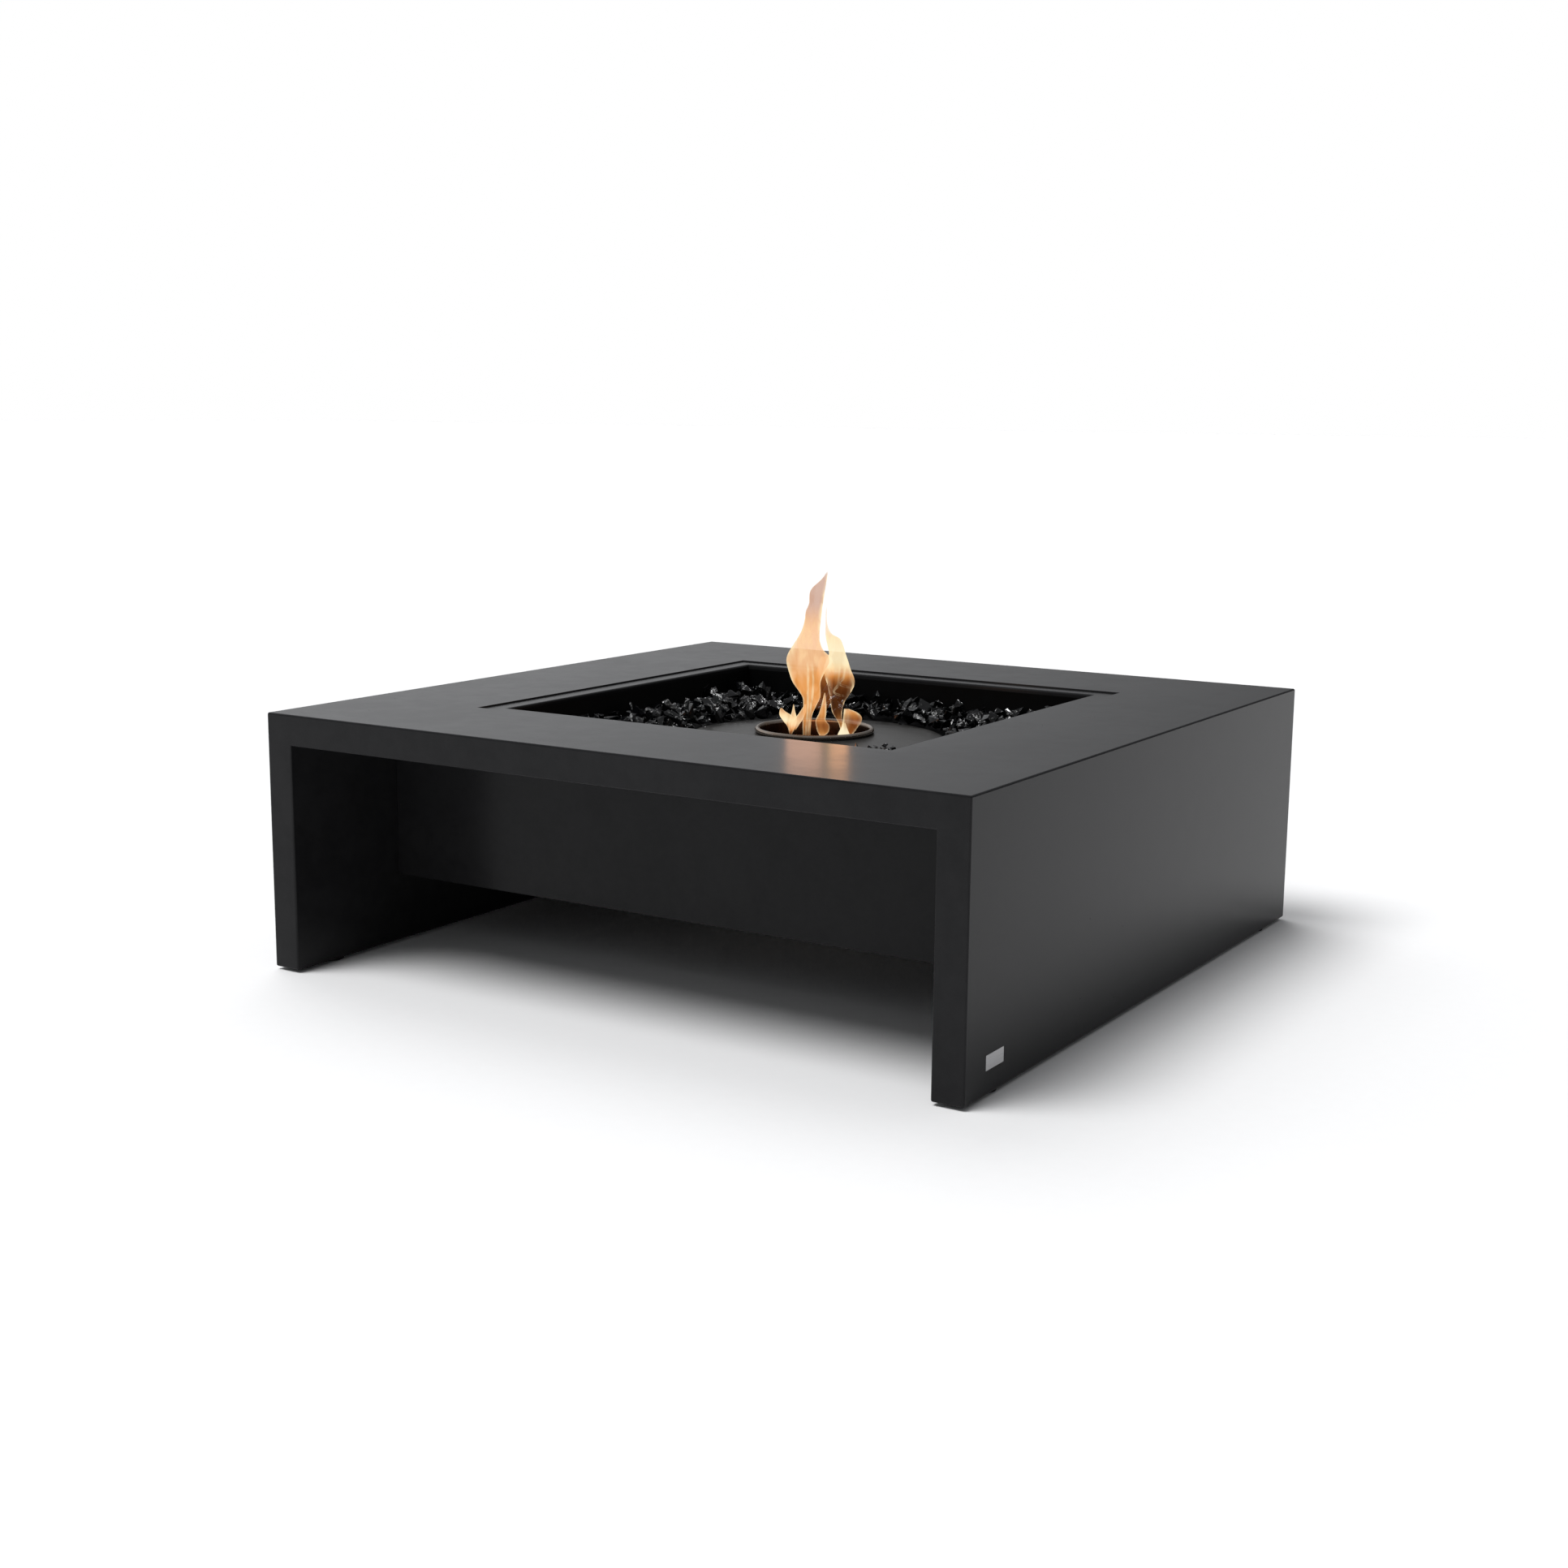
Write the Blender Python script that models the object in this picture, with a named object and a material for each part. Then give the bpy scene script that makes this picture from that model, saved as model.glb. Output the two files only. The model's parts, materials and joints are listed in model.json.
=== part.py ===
"""A low square fire table: one cast-concrete body with two side legs and a framed opening in its
top, a recessed firebox under it, a lift-out steel tray with black glass, and a round ethanol burner.

Metres, +Z up, origin on the floor under the centre. The open front faces -Y.
"""

import math

import bmesh
import bpy
from mathutils import Matrix, Vector

GAP = 0.0003  # clearance between touching pieces
GLANCE = 0.010  # how far a cutter runs past the face that it opens

# Concrete body
WIDTH = 1.000
HEIGHT = 0.336
FOOT_GAP = 0.004
LEG_THICK = 0.040
TOP_THICK = 0.040
BODY_EDGE = 0.0025
OPENING_HALF = 0.285
OPENING_EDGE = 0.003
LEDGE_HALF = 0.3125
LEDGE_DEPTH = 0.002
LEDGE_EDGE = 0.0006
HALF = WIDTH / 2
LEG_INNER = HALF - LEG_THICK
UNDERSIDE = HEIGHT - TOP_THICK

# Firebox aprons
APRON_FACE = 0.310
APRON_THICK = 0.020
APRON_BOTTOM = 0.096
APRON_EDGE = 0.0012
APRON_BACK = APRON_FACE - APRON_THICK

# Steel flanges, their screws and the sockets cast in for them
FLANGE = 0.003
BRACKET_LEG = 0.050
BRACKET_LOW = 0.150
BRACKET_TALL = 0.060
BRACKET_SCREW_IN = 0.030
RAIL_LENGTH = 0.560
RAIL_SHELF = 0.030
RAIL_DROP = 0.025
RAIL_SCREW_X = 0.180
RAIL_SCREW_DROP = 0.016
SCREW_R = 0.0030
SCREW_HOLE_R = 0.0034
SCREW_HEAD_R = 0.0058
SCREW_HEAD_TALL = 0.0040
SCREW_BITE = 0.011
SOCKET_R = 0.0052
SOCKET_HOLE_R = 0.0056
SOCKET_BORE_R = 0.0034
SOCKET_LENGTH = 0.014
SOCKET_FLOOR = 0.0015

# Tray
TRAY_HALF = 0.2835
TRAY_SHEET = 0.002
TRAY_FOLD = 0.003
TRAY_FLOOR = 0.2837  # upper face of its floor
TRAY_RIM = 0.3285
TRAY_HOLE_R = 0.163
DRAIN_R = 0.004
DRAIN_AT = 0.245
TRAY_UNDER = TRAY_FLOOR - TRAY_SHEET
RAIL_TOP = TRAY_UNDER - GAP

# Glass bed
GLASS_TOP = 0.3075
GLASS_LUMP = 0.0050
GLASS_LIP = 0.0050
GLASS_HOLE_R = 0.178
GLASS_SECTORS = 56
GLASS_BANDS = (0.0, 0.12, 0.37, 0.63, 0.88, 1.0)

# Burner
BURNER_X = 0.008  # it stands a little right of the tray's middle
PLATE_TOP = 0.2932  # round the mouth
PLATE_EDGE_TOP = 0.2860
PLATE_SHEET = 0.0015
PLATE_R = 0.175
PLATE_HOLE_R = 0.0768
CAN_R = 0.160
CAN_SHEET = 0.0015
CAN_BOTTOM = 0.160
TANK_R = 0.1545
TANK_SHEET = 0.0012
SPACER_R = 0.008
SPACER_TALL = 0.0044
SPACER_CIRCLE = 0.110
SPACER_COUNT = 3
COLLAR_R = 0.0762
COLLAR_BORE_R = 0.0749
COLLAR_LOW = 0.250
BAFFLE_Z = 0.230
BAFFLE_HOLE_R = 0.045
BAFFLE_LIP = 0.005
BAFFLE_SHEET = 0.0012
RING_BORE_R = 0.0733
RING_SKIRT_R = 0.0743
RING_LOW = 0.262
RING_BEAD_R = 0.0033
RING_BEAD_CIRCLE = 0.0770
RING_TOP = 0.3005
COLLAR_TOP = RING_TOP - 2 * RING_BEAD_R
PLATE_SLOPE = (PLATE_TOP - PLATE_EDGE_TOP) / (PLATE_R - PLATE_HOLE_R)
CAN_TOP = PLATE_EDGE_TOP - PLATE_SHEET + PLATE_SLOPE * (PLATE_R - CAN_R) - GAP
CAN_FLOOR = CAN_BOTTOM + CAN_SHEET
TANK_BOTTOM = CAN_FLOOR + SPACER_TALL + 2 * GAP

# Levelling feet
FOOT_X = 0.480
FOOT_Y = 0.420
PAD_R = 0.016
PAD_TALL = FOOT_GAP - GAP
PAD_CUP_R = 0.0055
PAD_CUP_FLOOR = 0.0014
STEM_R = 0.0040
STEM_TIP_R = 0.0048
STEM_LOW = 0.0018
STEM_TIP_TALL = 0.0016
STEM_HEX_R = 0.0095
STEM_HEX_LOW = 0.0045
STEM_HEX_TOP = 0.0083
STEM_TOP = 0.045
FOOT_RECESS_R = 0.0115
FOOT_RECESS_TOP = 0.0090
FOOT_SOCKET_R = 0.0072
FOOT_SOCKET_HOLE_R = 0.0076
FOOT_SOCKET_BORE_R = 0.0044
FOOT_SOCKET_TOP = 0.058

# Name plate, left blank
BADGE_WIDE = 0.042
BADGE_TALL = 0.017
BADGE_THICK = 0.0012
BADGE_Y = -0.430
BADGE_Z = 0.040
BADGE_POCKET = BADGE_THICK + GAP

SEGMENTS_LARGE = 64
SEGMENTS_RING = 48
SEGMENTS_SMALL = 24
SEGMENTS_HEX = 12
SMOOTH_ANGLE = math.radians(40)
NEARLY_ZERO = 1e-9
SIDES = {"front": -1, "rear": 1}
HANDS = {"left": -1, "right": 1}


def clear_scene():
    for old in list(bpy.data.objects):
        bpy.data.objects.remove(old)


def material(name, colour, roughness, metallic):
    made = bpy.data.materials.new(name)
    made.use_nodes = True
    shader = made.node_tree.nodes["Principled BSDF"]
    shader.inputs["Base Color"].default_value = (*colour, 1.0)
    shader.inputs["Roughness"].default_value = roughness
    shader.inputs["Metallic"].default_value = metallic
    return made


def add_object(name, mesh, parent=None, location=(0, 0, 0)):
    obj = bpy.data.objects.new(name, mesh)
    bpy.context.scene.collection.objects.link(obj)
    obj.location = location
    obj.parent = parent
    return obj


def node(name, mesh, finish, parent=None, location=(0, 0, 0)):
    """One sub-part of the table, with its material."""
    if not mesh.materials:
        mesh.materials.append(finish)
    return add_object(name, mesh, parent, location)


def body_empty(name, location=(0, 0, 0), parent=None):
    """An empty on a joint's axis, which the pieces of one moving body hang from."""
    return add_object(name, None, parent, location)


def finish_mesh(name, bm):
    bmesh.ops.recalc_face_normals(bm, faces=bm.faces)
    mesh = bpy.data.meshes.new(name)
    bm.to_mesh(mesh)
    bm.free()
    mesh.shade_smooth()
    mesh.set_sharp_from_angle(angle=SMOOTH_ANGLE)
    return mesh


def box_mesh(name, low, high):
    low, high = Vector(low), Vector(high)
    bm = bmesh.new()
    size = Matrix.Diagonal((*(high - low), 1.0))
    bmesh.ops.create_cube(bm, size=1.0, matrix=Matrix.Translation((low + high) / 2) @ size)
    return finish_mesh(name, bm)


def prism_mesh(name, outline, start, length, along):
    """A closed outline in the plane across axis `along` ('Y' or 'Z'), extruded by `length`."""
    bm = bmesh.new()
    if along == "Y":
        corners = [bm.verts.new((a, start, b)) for a, b in outline]
        shift = Vector((0, length, 0))
    else:
        corners = [bm.verts.new((a, b, start)) for a, b in outline]
        shift = Vector((0, 0, length))
    face = bm.faces.new(corners)
    grown = bmesh.ops.extrude_face_region(bm, geom=[face])
    moved = [g for g in grown["geom"] if isinstance(g, bmesh.types.BMVert)]
    bmesh.ops.translate(bm, verts=moved, vec=shift)
    return finish_mesh(name, bm)


def turned_mesh(name, outline, steps, hexed=None):
    """An (r, z) outline turned round Z. An outline that starts and ends on the axis stays open
    there. `hexed` = (r, z range): rings at least that wide in that range become hexagons."""
    bm = bmesh.new()
    points = [bm.verts.new((r, 0, z)) for r, z in outline]
    edges = [bm.edges.new(pair) for pair in zip(points, points[1:])]
    if outline[0][0] > 0:
        edges.append(bm.edges.new((points[-1], points[0])))
    bmesh.ops.spin(bm, geom=points + edges, cent=(0, 0, 0), axis=(0, 0, 1),
                   angle=math.tau, steps=steps)
    bmesh.ops.remove_doubles(bm, verts=bm.verts, dist=1e-6)
    if hexed:
        least, low, high = hexed
        for v in bm.verts:
            radius = math.hypot(v.co.x, v.co.y)
            turn = round(math.atan2(v.co.y, v.co.x) / (math.tau / steps))
            if radius >= least and low <= v.co.z <= high and turn % 2:
                v.co.x *= math.cos(math.pi / 6)
                v.co.y *= math.cos(math.pi / 6)
    return finish_mesh(name, bm)


def bevel(obj, width, segments, limit="ANGLE"):
    modifier = obj.modifiers.new("edges", "BEVEL")
    modifier.width = width
    modifier.segments = segments
    modifier.limit_method = limit
    modifier.angle_limit = math.radians(30)


def mark_outer_edges(mesh):
    """Gives the convex edges full bevel weight, so that inside corners stay sharp."""
    bm = bmesh.new()
    bm.from_mesh(mesh)
    weight = bm.edges.layers.float.new("bevel_weight_edge")
    for edge in bm.edges:
        edge[weight] = 1.0 if edge.is_convex else 0.0
    bm.to_mesh(mesh)
    bm.free()


def cut(target, mesh, matrix=None):
    """Takes the cutter's shape out of the target."""
    cutter = add_object("cutter", mesh)
    if matrix:
        cutter.matrix_world = matrix
    cutter.hide_render = True
    cutter.display_type = "WIRE"
    modifier = target.modifiers.new("cut", "BOOLEAN")
    modifier.operation = "DIFFERENCE"
    modifier.solver = "EXACT"
    modifier.object = cutter


def arc(centre, radius, start_deg, end_deg, steps):
    """Points of a circle's arc, ends included."""
    turn = (end_deg - start_deg) / steps
    angles = [math.radians(start_deg + turn * i) for i in range(steps + 1)]
    return [(centre[0] + radius * math.cos(a), centre[1] + radius * math.sin(a)) for a in angles]


def facing(point, direction):
    """A frame at point whose +Z runs along direction."""
    turn = Vector(direction).to_track_quat("Z", "Y").to_matrix().to_4x4()
    return Matrix.Translation(point) @ turn


# Concrete

def opening_cutter():
    """Square rings stacked up: the straight well, its rounded edge, the ledge and the step's edge."""
    ledge = HEIGHT - LEDGE_DEPTH
    rounded = arc((OPENING_HALF + OPENING_EDGE, ledge - OPENING_EDGE), OPENING_EDGE, 180, 90, 4)
    eased = arc((LEDGE_HALF + LEDGE_EDGE, HEIGHT - LEDGE_EDGE), LEDGE_EDGE, 180, 90, 2)
    rings = [(OPENING_HALF, UNDERSIDE - GLANCE), *rounded, (LEDGE_HALF, ledge), *eased]
    rings.append((LEDGE_HALF + LEDGE_EDGE, HEIGHT + GLANCE))
    bm = bmesh.new()
    loops = []
    for half, z in rings:
        corners = [(-half, -half), (half, -half), (half, half), (-half, half)]
        loops.append([bm.verts.new((x, y, z)) for x, y in corners])
    for lower, upper in zip(loops, loops[1:]):
        for i in range(4):
            j = (i + 1) % 4
            bm.faces.new((lower[i], lower[j], upper[j], upper[i]))
    bm.faces.new(loops[0])
    bm.faces.new(loops[-1])
    return finish_mesh("opening_cutter", bm)


def table_body(concrete):
    """The one casting: two full-depth legs and the top between them."""
    outline = [
        (-HALF, FOOT_GAP), (-LEG_INNER, FOOT_GAP), (-LEG_INNER, UNDERSIDE),
        (LEG_INNER, UNDERSIDE), (LEG_INNER, FOOT_GAP), (HALF, FOOT_GAP),
        (HALF, HEIGHT), (-HALF, HEIGHT),
    ]
    mesh = prism_mesh("table_body", outline, -HALF, WIDTH, "Y")
    mark_outer_edges(mesh)
    body = node("table_body", mesh, concrete)
    bevel(body, BODY_EDGE, 3, "WEIGHT")
    cut(body, opening_cutter())
    pocket = box_mesh(
        "badge_pocket",
        (HALF - BADGE_POCKET, BADGE_Y - BADGE_WIDE / 2 - GAP, BADGE_Z - BADGE_TALL / 2 - GAP),
        (HALF + GLANCE, BADGE_Y + BADGE_WIDE / 2 + GAP, BADGE_Z + BADGE_TALL / 2 + GAP),
    )
    cut(body, pocket)
    return body


def apron(name, side, concrete):
    """A recessed firebox wall between the legs. side is -1 at the front and 1 at the rear."""
    faces = sorted((side * APRON_BACK, side * APRON_FACE))
    reach = LEG_INNER - GAP
    mesh = box_mesh(name, (-reach, faces[0], APRON_BOTTOM), (reach, faces[1], UNDERSIDE - GAP))
    wall = node(name, mesh, concrete)
    bevel(wall, APRON_EDGE, 2)
    return wall


# Fixings

def screw_mesh():
    """A hexagon-head screw along +Z, with the underside of its head at z 0."""
    length = FLANGE + 2 * GAP + SCREW_BITE
    outline = [
        (0, -SCREW_HEAD_TALL), (SCREW_HEAD_R, -SCREW_HEAD_TALL), (SCREW_HEAD_R, 0),
        (SCREW_R, 0), (SCREW_R, length), (0, length),
    ]
    hexed = (SCREW_HEAD_R - GAP, -SCREW_HEAD_TALL, 0)
    return turned_mesh("screw", outline, SEGMENTS_HEX, hexed)


def socket_mesh():
    """A blind hexagonal socket along +Z, flush with the wall's face at z 0."""
    end = GAP + SOCKET_LENGTH
    outline = [
        (0, end), (SOCKET_R, end), (SOCKET_R, GAP), (SOCKET_BORE_R, GAP),
        (SOCKET_BORE_R, end - SOCKET_FLOOR), (0, end - SOCKET_FLOOR),
    ]
    return turned_mesh("socket", outline, SEGMENTS_HEX, (SOCKET_R - GAP, 0, end))


def fixing(name, point, direction, flange, wall, meshes, steel, zinc):
    """A screw through a flange into a socket cast in the wall. The point is on the wall's face,
    and the direction runs into the wall."""
    screw, socket, flange_cutter, wall_cutter = meshes
    into = Vector(direction)
    head = Vector(point) - into * (FLANGE + 2 * GAP)
    node(f"{name}_screw", screw, steel).matrix_world = facing(head, into)
    node(f"{name}_socket", socket, zinc).matrix_world = facing(point, into)
    cut(flange, flange_cutter, facing(point, into))
    cut(wall, wall_cutter, facing(point, into))


def fixing_meshes():
    depth = SOCKET_LENGTH + 2 * GAP
    through = turned_mesh(
        "flange_cutter",
        [(0, -GLANCE), (SCREW_HOLE_R, -GLANCE), (SCREW_HOLE_R, GLANCE), (0, GLANCE)],
        SEGMENTS_HEX,
    )
    blind = turned_mesh(
        "wall_cutter",
        [(0, -GLANCE), (SOCKET_HOLE_R, -GLANCE), (SOCKET_HOLE_R, depth), (0, depth)],
        SEGMENTS_HEX,
    )
    return screw_mesh(), socket_mesh(), through, blind


def corner_bracket(name, hand, side, paint):
    """A folded angle in the corner of a leg and an apron, both flanges against concrete."""
    x, y = hand * (LEG_INNER - GAP), side * (APRON_BACK - GAP)
    u, v = -hand, -side
    outline = [
        (x, y), (x + u * BRACKET_LEG, y), (x + u * BRACKET_LEG, y + v * FLANGE),
        (x + u * FLANGE, y + v * FLANGE), (x + u * FLANGE, y + v * BRACKET_LEG),
        (x, y + v * BRACKET_LEG),
    ]
    return node(name, prism_mesh(name, outline, BRACKET_LOW, BRACKET_TALL, "Z"), paint)


def tray_rail(name, side, paint):
    """An angle on the apron's inner face, whose shelf carries the tray."""
    y = side * (APRON_BACK - GAP)
    v = -side
    low = RAIL_TOP - RAIL_DROP
    outline = [
        (y, low), (y + v * FLANGE, low), (y + v * FLANGE, RAIL_TOP - FLANGE),
        (y + v * RAIL_SHELF, RAIL_TOP - FLANGE), (y + v * RAIL_SHELF, RAIL_TOP), (y, RAIL_TOP),
    ]
    bm = bmesh.new()
    corners = [bm.verts.new((-RAIL_LENGTH / 2, a, b)) for a, b in outline]
    grown = bmesh.ops.extrude_face_region(bm, geom=[bm.faces.new(corners)])
    moved = [g for g in grown["geom"] if isinstance(g, bmesh.types.BMVert)]
    bmesh.ops.translate(bm, verts=moved, vec=(RAIL_LENGTH, 0, 0))
    return node(name, finish_mesh(name, bm), paint)


def firebox(body, aprons, paint, steel, zinc):
    """The brackets that hold the aprons to the legs, and the rails that carry the tray."""
    meshes = fixing_meshes()
    middle = BRACKET_LOW + BRACKET_TALL / 2
    for side_name, side in SIDES.items():
        wall = aprons[side_name]
        for hand_name, hand in HANDS.items():
            place = f"{side_name}_{hand_name}"
            bracket = corner_bracket(f"bracket_{place}", hand, side, paint)
            on_leg = (hand * LEG_INNER, side * (APRON_BACK - BRACKET_SCREW_IN), middle)
            on_apron = (hand * (LEG_INNER - BRACKET_SCREW_IN), side * APRON_BACK, middle)
            fixing(f"leg_{place}", on_leg, (hand, 0, 0), bracket, body, meshes, steel, zinc)
            fixing(f"apron_{place}", on_apron, (0, side, 0), bracket, wall, meshes, steel, zinc)
        rail = tray_rail(f"tray_rail_{side_name}", side, paint)
        for hand_name, hand in HANDS.items():
            point = (hand * RAIL_SCREW_X, side * APRON_BACK, RAIL_TOP - RAIL_SCREW_DROP)
            name = f"rail_{side_name}_{hand_name}"
            fixing(name, point, (0, side, 0), rail, wall, meshes, steel, zinc)


def badge(steel):
    """A blank plate, flush in its pocket in the right leg's outer face."""
    low = (HALF - BADGE_THICK, BADGE_Y - BADGE_WIDE / 2, BADGE_Z - BADGE_TALL / 2)
    high = (HALF, BADGE_Y + BADGE_WIDE / 2, BADGE_Z + BADGE_TALL / 2)
    node("badge", box_mesh("badge", low, high), steel)


# Levelling feet

def foot_meshes():
    pad = [
        (0, 0), (PAD_R, 0), (PAD_R, PAD_TALL), (PAD_CUP_R, PAD_TALL),
        (PAD_CUP_R, PAD_CUP_FLOOR), (0, PAD_CUP_FLOOR),
    ]
    tip_top = STEM_LOW + STEM_TIP_TALL
    stem = [
        (0, STEM_LOW), (STEM_TIP_R, STEM_LOW), (STEM_TIP_R, tip_top), (STEM_R, tip_top),
        (STEM_R, STEM_HEX_LOW), (STEM_HEX_R, STEM_HEX_LOW), (STEM_HEX_R, STEM_HEX_TOP),
        (STEM_R, STEM_HEX_TOP), (STEM_R, STEM_TOP), (0, STEM_TOP),
    ]
    floor = FOOT_SOCKET_TOP - SOCKET_FLOOR
    low = FOOT_RECESS_TOP + GAP
    socket = [
        (0, FOOT_SOCKET_TOP), (FOOT_SOCKET_R, FOOT_SOCKET_TOP), (FOOT_SOCKET_R, low),
        (FOOT_SOCKET_BORE_R, low), (FOOT_SOCKET_BORE_R, floor), (0, floor),
    ]
    end = FOOT_SOCKET_TOP + GAP
    hole = [
        (0, -GLANCE), (FOOT_RECESS_R, -GLANCE), (FOOT_RECESS_R, FOOT_RECESS_TOP),
        (FOOT_SOCKET_HOLE_R, FOOT_RECESS_TOP), (FOOT_SOCKET_HOLE_R, end), (0, end),
    ]
    hexed = (STEM_HEX_R - GAP, STEM_HEX_LOW, STEM_HEX_TOP)
    return (
        turned_mesh("foot_pad", pad, SEGMENTS_SMALL),
        turned_mesh("foot_stem", stem, SEGMENTS_HEX, hexed),
        turned_mesh("foot_socket", socket, SEGMENTS_HEX, (FOOT_SOCKET_R - GAP, 0, end)),
        turned_mesh("foot_hole", hole, SEGMENTS_HEX),
    )


def levelling_feet(body, rubber, steel, zinc):
    """Four feet: a swivelling pad, a threaded stem with a hexagon, and the socket in the leg."""
    pad, stem, socket, hole = foot_meshes()
    for side_name, side in SIDES.items():
        for hand_name, hand in HANDS.items():
            place = f"{side_name}_{hand_name}"
            at = (hand * FOOT_X, side * FOOT_Y, 0)
            down = body_empty(f"foot_{place}", at)
            turn = body_empty(f"stem_{place}", parent=down)
            node(f"foot_pad_{place}", pad, rubber, down)
            node(f"foot_stem_{place}", stem, steel, turn)
            node(f"foot_socket_{place}", socket, zinc, location=at)
            cut(body, hole, Matrix.Translation(at))


# Tray and glass

def burner_tray(parent, paint):
    """A folded square pan with a round hole for the burner and four drain holes."""
    low = (-TRAY_HALF, -TRAY_HALF, TRAY_UNDER)
    high = (TRAY_HALF, TRAY_HALF, TRAY_RIM)
    tray = node("burner_tray", box_mesh("burner_tray", low, high), paint, parent)
    bevel(tray, TRAY_FOLD, 2)
    inner = TRAY_HALF - TRAY_SHEET
    hollow = box_mesh(
        "tray_hollow", (-inner, -inner, TRAY_FLOOR), (inner, inner, TRAY_RIM + GLANCE)
    )
    cut(tray, hollow)
    drill = [(0, TRAY_UNDER - GLANCE), (TRAY_HOLE_R, TRAY_UNDER - GLANCE),
             (TRAY_HOLE_R, TRAY_FLOOR + GLANCE), (0, TRAY_FLOOR + GLANCE)]
    burner_hole = turned_mesh("burner_hole", drill, SEGMENTS_LARGE)
    cut(tray, burner_hole, Matrix.Translation((BURNER_X, 0, 0)))
    drain = [(0, TRAY_UNDER - GLANCE), (DRAIN_R, TRAY_UNDER - GLANCE),
             (DRAIN_R, TRAY_FLOOR + GLANCE), (0, TRAY_FLOOR + GLANCE)]
    drain_mesh = turned_mesh("drain_hole", drain, SEGMENTS_HEX)
    for x in (-DRAIN_AT, DRAIN_AT):
        for y in (-DRAIN_AT, DRAIN_AT):
            cut(tray, drain_mesh, Matrix.Translation((x, y, 0)))
    return tray


def glass_height(sector, band):
    """The bed's uneven upper face: lower at its two borders and lumpy between them."""
    edge = band in (0, len(GLASS_BANDS) - 1)
    lump = math.sin(2.1 * sector + 1.7 * band) * math.cos(1.3 * sector - 2.3 * band)
    return GLASS_TOP - (GLASS_LIP if edge else 0) + GLASS_LUMP * lump * (0.4 if edge else 1.0)


def glass_bed(parent, glass):
    """The loose black glass as one closed ring, square outside and round inside."""
    outer = TRAY_HALF - TRAY_SHEET - 2 * GAP
    floor = TRAY_FLOOR + GAP
    bm = bmesh.new()
    columns = []
    for sector in range(GLASS_SECTORS):
        angle = math.tau * sector / GLASS_SECTORS
        across, up = math.cos(angle), math.sin(angle)
        room = outer - math.copysign(BURNER_X, across)
        reach = min(room / max(abs(across), NEARLY_ZERO), outer / max(abs(up), NEARLY_ZERO))
        radii = [GLASS_HOLE_R + (reach - GLASS_HOLE_R) * t for t in GLASS_BANDS]
        column = [
            bm.verts.new((BURNER_X + r * across, r * up, glass_height(sector, band)))
            for band, r in enumerate(radii)
        ]
        for r in (radii[-1], radii[0]):
            column.append(bm.verts.new((BURNER_X + r * across, r * up, floor)))
        columns.append(column)
    for here, there in zip(columns, columns[1:] + columns[:1]):
        for i in range(len(here)):
            j = (i + 1) % len(here)
            bm.faces.new((here[i], here[j], there[j], there[i]))
    return node("glass_bed", finish_mesh("glass_bed", bm), glass, parent)


# Burner

def burner_plate(parent, black):
    """The round top plate: a shallow cone, with a folded edge that stands on the tray."""
    fold = (PLATE_R - PLATE_SHEET, PLATE_EDGE_TOP - PLATE_SHEET)
    outline = [
        (PLATE_HOLE_R, PLATE_TOP - PLATE_SHEET), fold,
        (fold[0], TRAY_FLOOR + GAP), (PLATE_R, TRAY_FLOOR + GAP),
        *arc(fold, PLATE_SHEET, 0, 85, 3),
        (PLATE_HOLE_R, PLATE_TOP),
    ]
    mesh = turned_mesh("burner_plate", outline, SEGMENTS_LARGE)
    return node("burner_plate", mesh, black, parent)


def cup_mesh(name, radius, sheet, bottom, top):
    outline = [
        (0, bottom), (radius, bottom), (radius, top),
        (radius - sheet, top), (radius - sheet, bottom + sheet), (0, bottom + sheet),
    ]
    return turned_mesh(name, outline, SEGMENTS_RING)


def mouth_collar(parent, steel):
    """The neck under the mouth, which the efficiency ring hangs in."""
    outline = [
        (COLLAR_BORE_R, COLLAR_LOW), (COLLAR_R, COLLAR_LOW),
        (COLLAR_R, COLLAR_TOP), (COLLAR_BORE_R, COLLAR_TOP),
    ]
    return node("mouth_collar", turned_mesh("mouth_collar", outline, SEGMENTS_RING), steel, parent)


def fuel_baffle(parent, steel):
    """A flat ring across the tank that stops the fuel slopping, with a lip round its hole."""
    reach = TANK_R - TANK_SHEET - GAP
    top = BAFFLE_Z + BAFFLE_SHEET
    outline = [
        (BAFFLE_HOLE_R, BAFFLE_Z), (reach, BAFFLE_Z), (reach, top),
        (BAFFLE_HOLE_R + BAFFLE_SHEET, top), (BAFFLE_HOLE_R + BAFFLE_SHEET, top + BAFFLE_LIP),
        (BAFFLE_HOLE_R, top + BAFFLE_LIP),
    ]
    return node("fuel_baffle", turned_mesh("fuel_baffle", outline, SEGMENTS_RING), steel, parent)


def tank_spacers(parent, steel):
    """Short studs that keep the tank off the floor of the outer can."""
    low = CAN_FLOOR + GAP
    high = low + SPACER_TALL
    stud = turned_mesh(
        "tank_spacer", [(0, low), (SPACER_R, low), (SPACER_R, high), (0, high)], SEGMENTS_HEX
    )
    for i in range(SPACER_COUNT):
        angle = math.tau * i / SPACER_COUNT
        at = (SPACER_CIRCLE * math.cos(angle), SPACER_CIRCLE * math.sin(angle), 0)
        node(f"tank_spacer_{i + 1}", stud, steel, parent, at)


def efficiency_ring(parent, steel):
    """The lift-out ring: a skirt inside the collar under a rolled bead that rests on it."""
    bead_z = RING_TOP - RING_BEAD_R
    bead = arc((RING_BEAD_CIRCLE, bead_z), RING_BEAD_R, 220, 540, 12)
    outline = [(RING_BORE_R, RING_LOW), (RING_SKIRT_R, RING_LOW), *bead[:-1],
               (RING_BORE_R, bead_z)]
    mesh = turned_mesh("efficiency_ring", outline, SEGMENTS_RING)
    return node("efficiency_ring", mesh, steel, parent)


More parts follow.
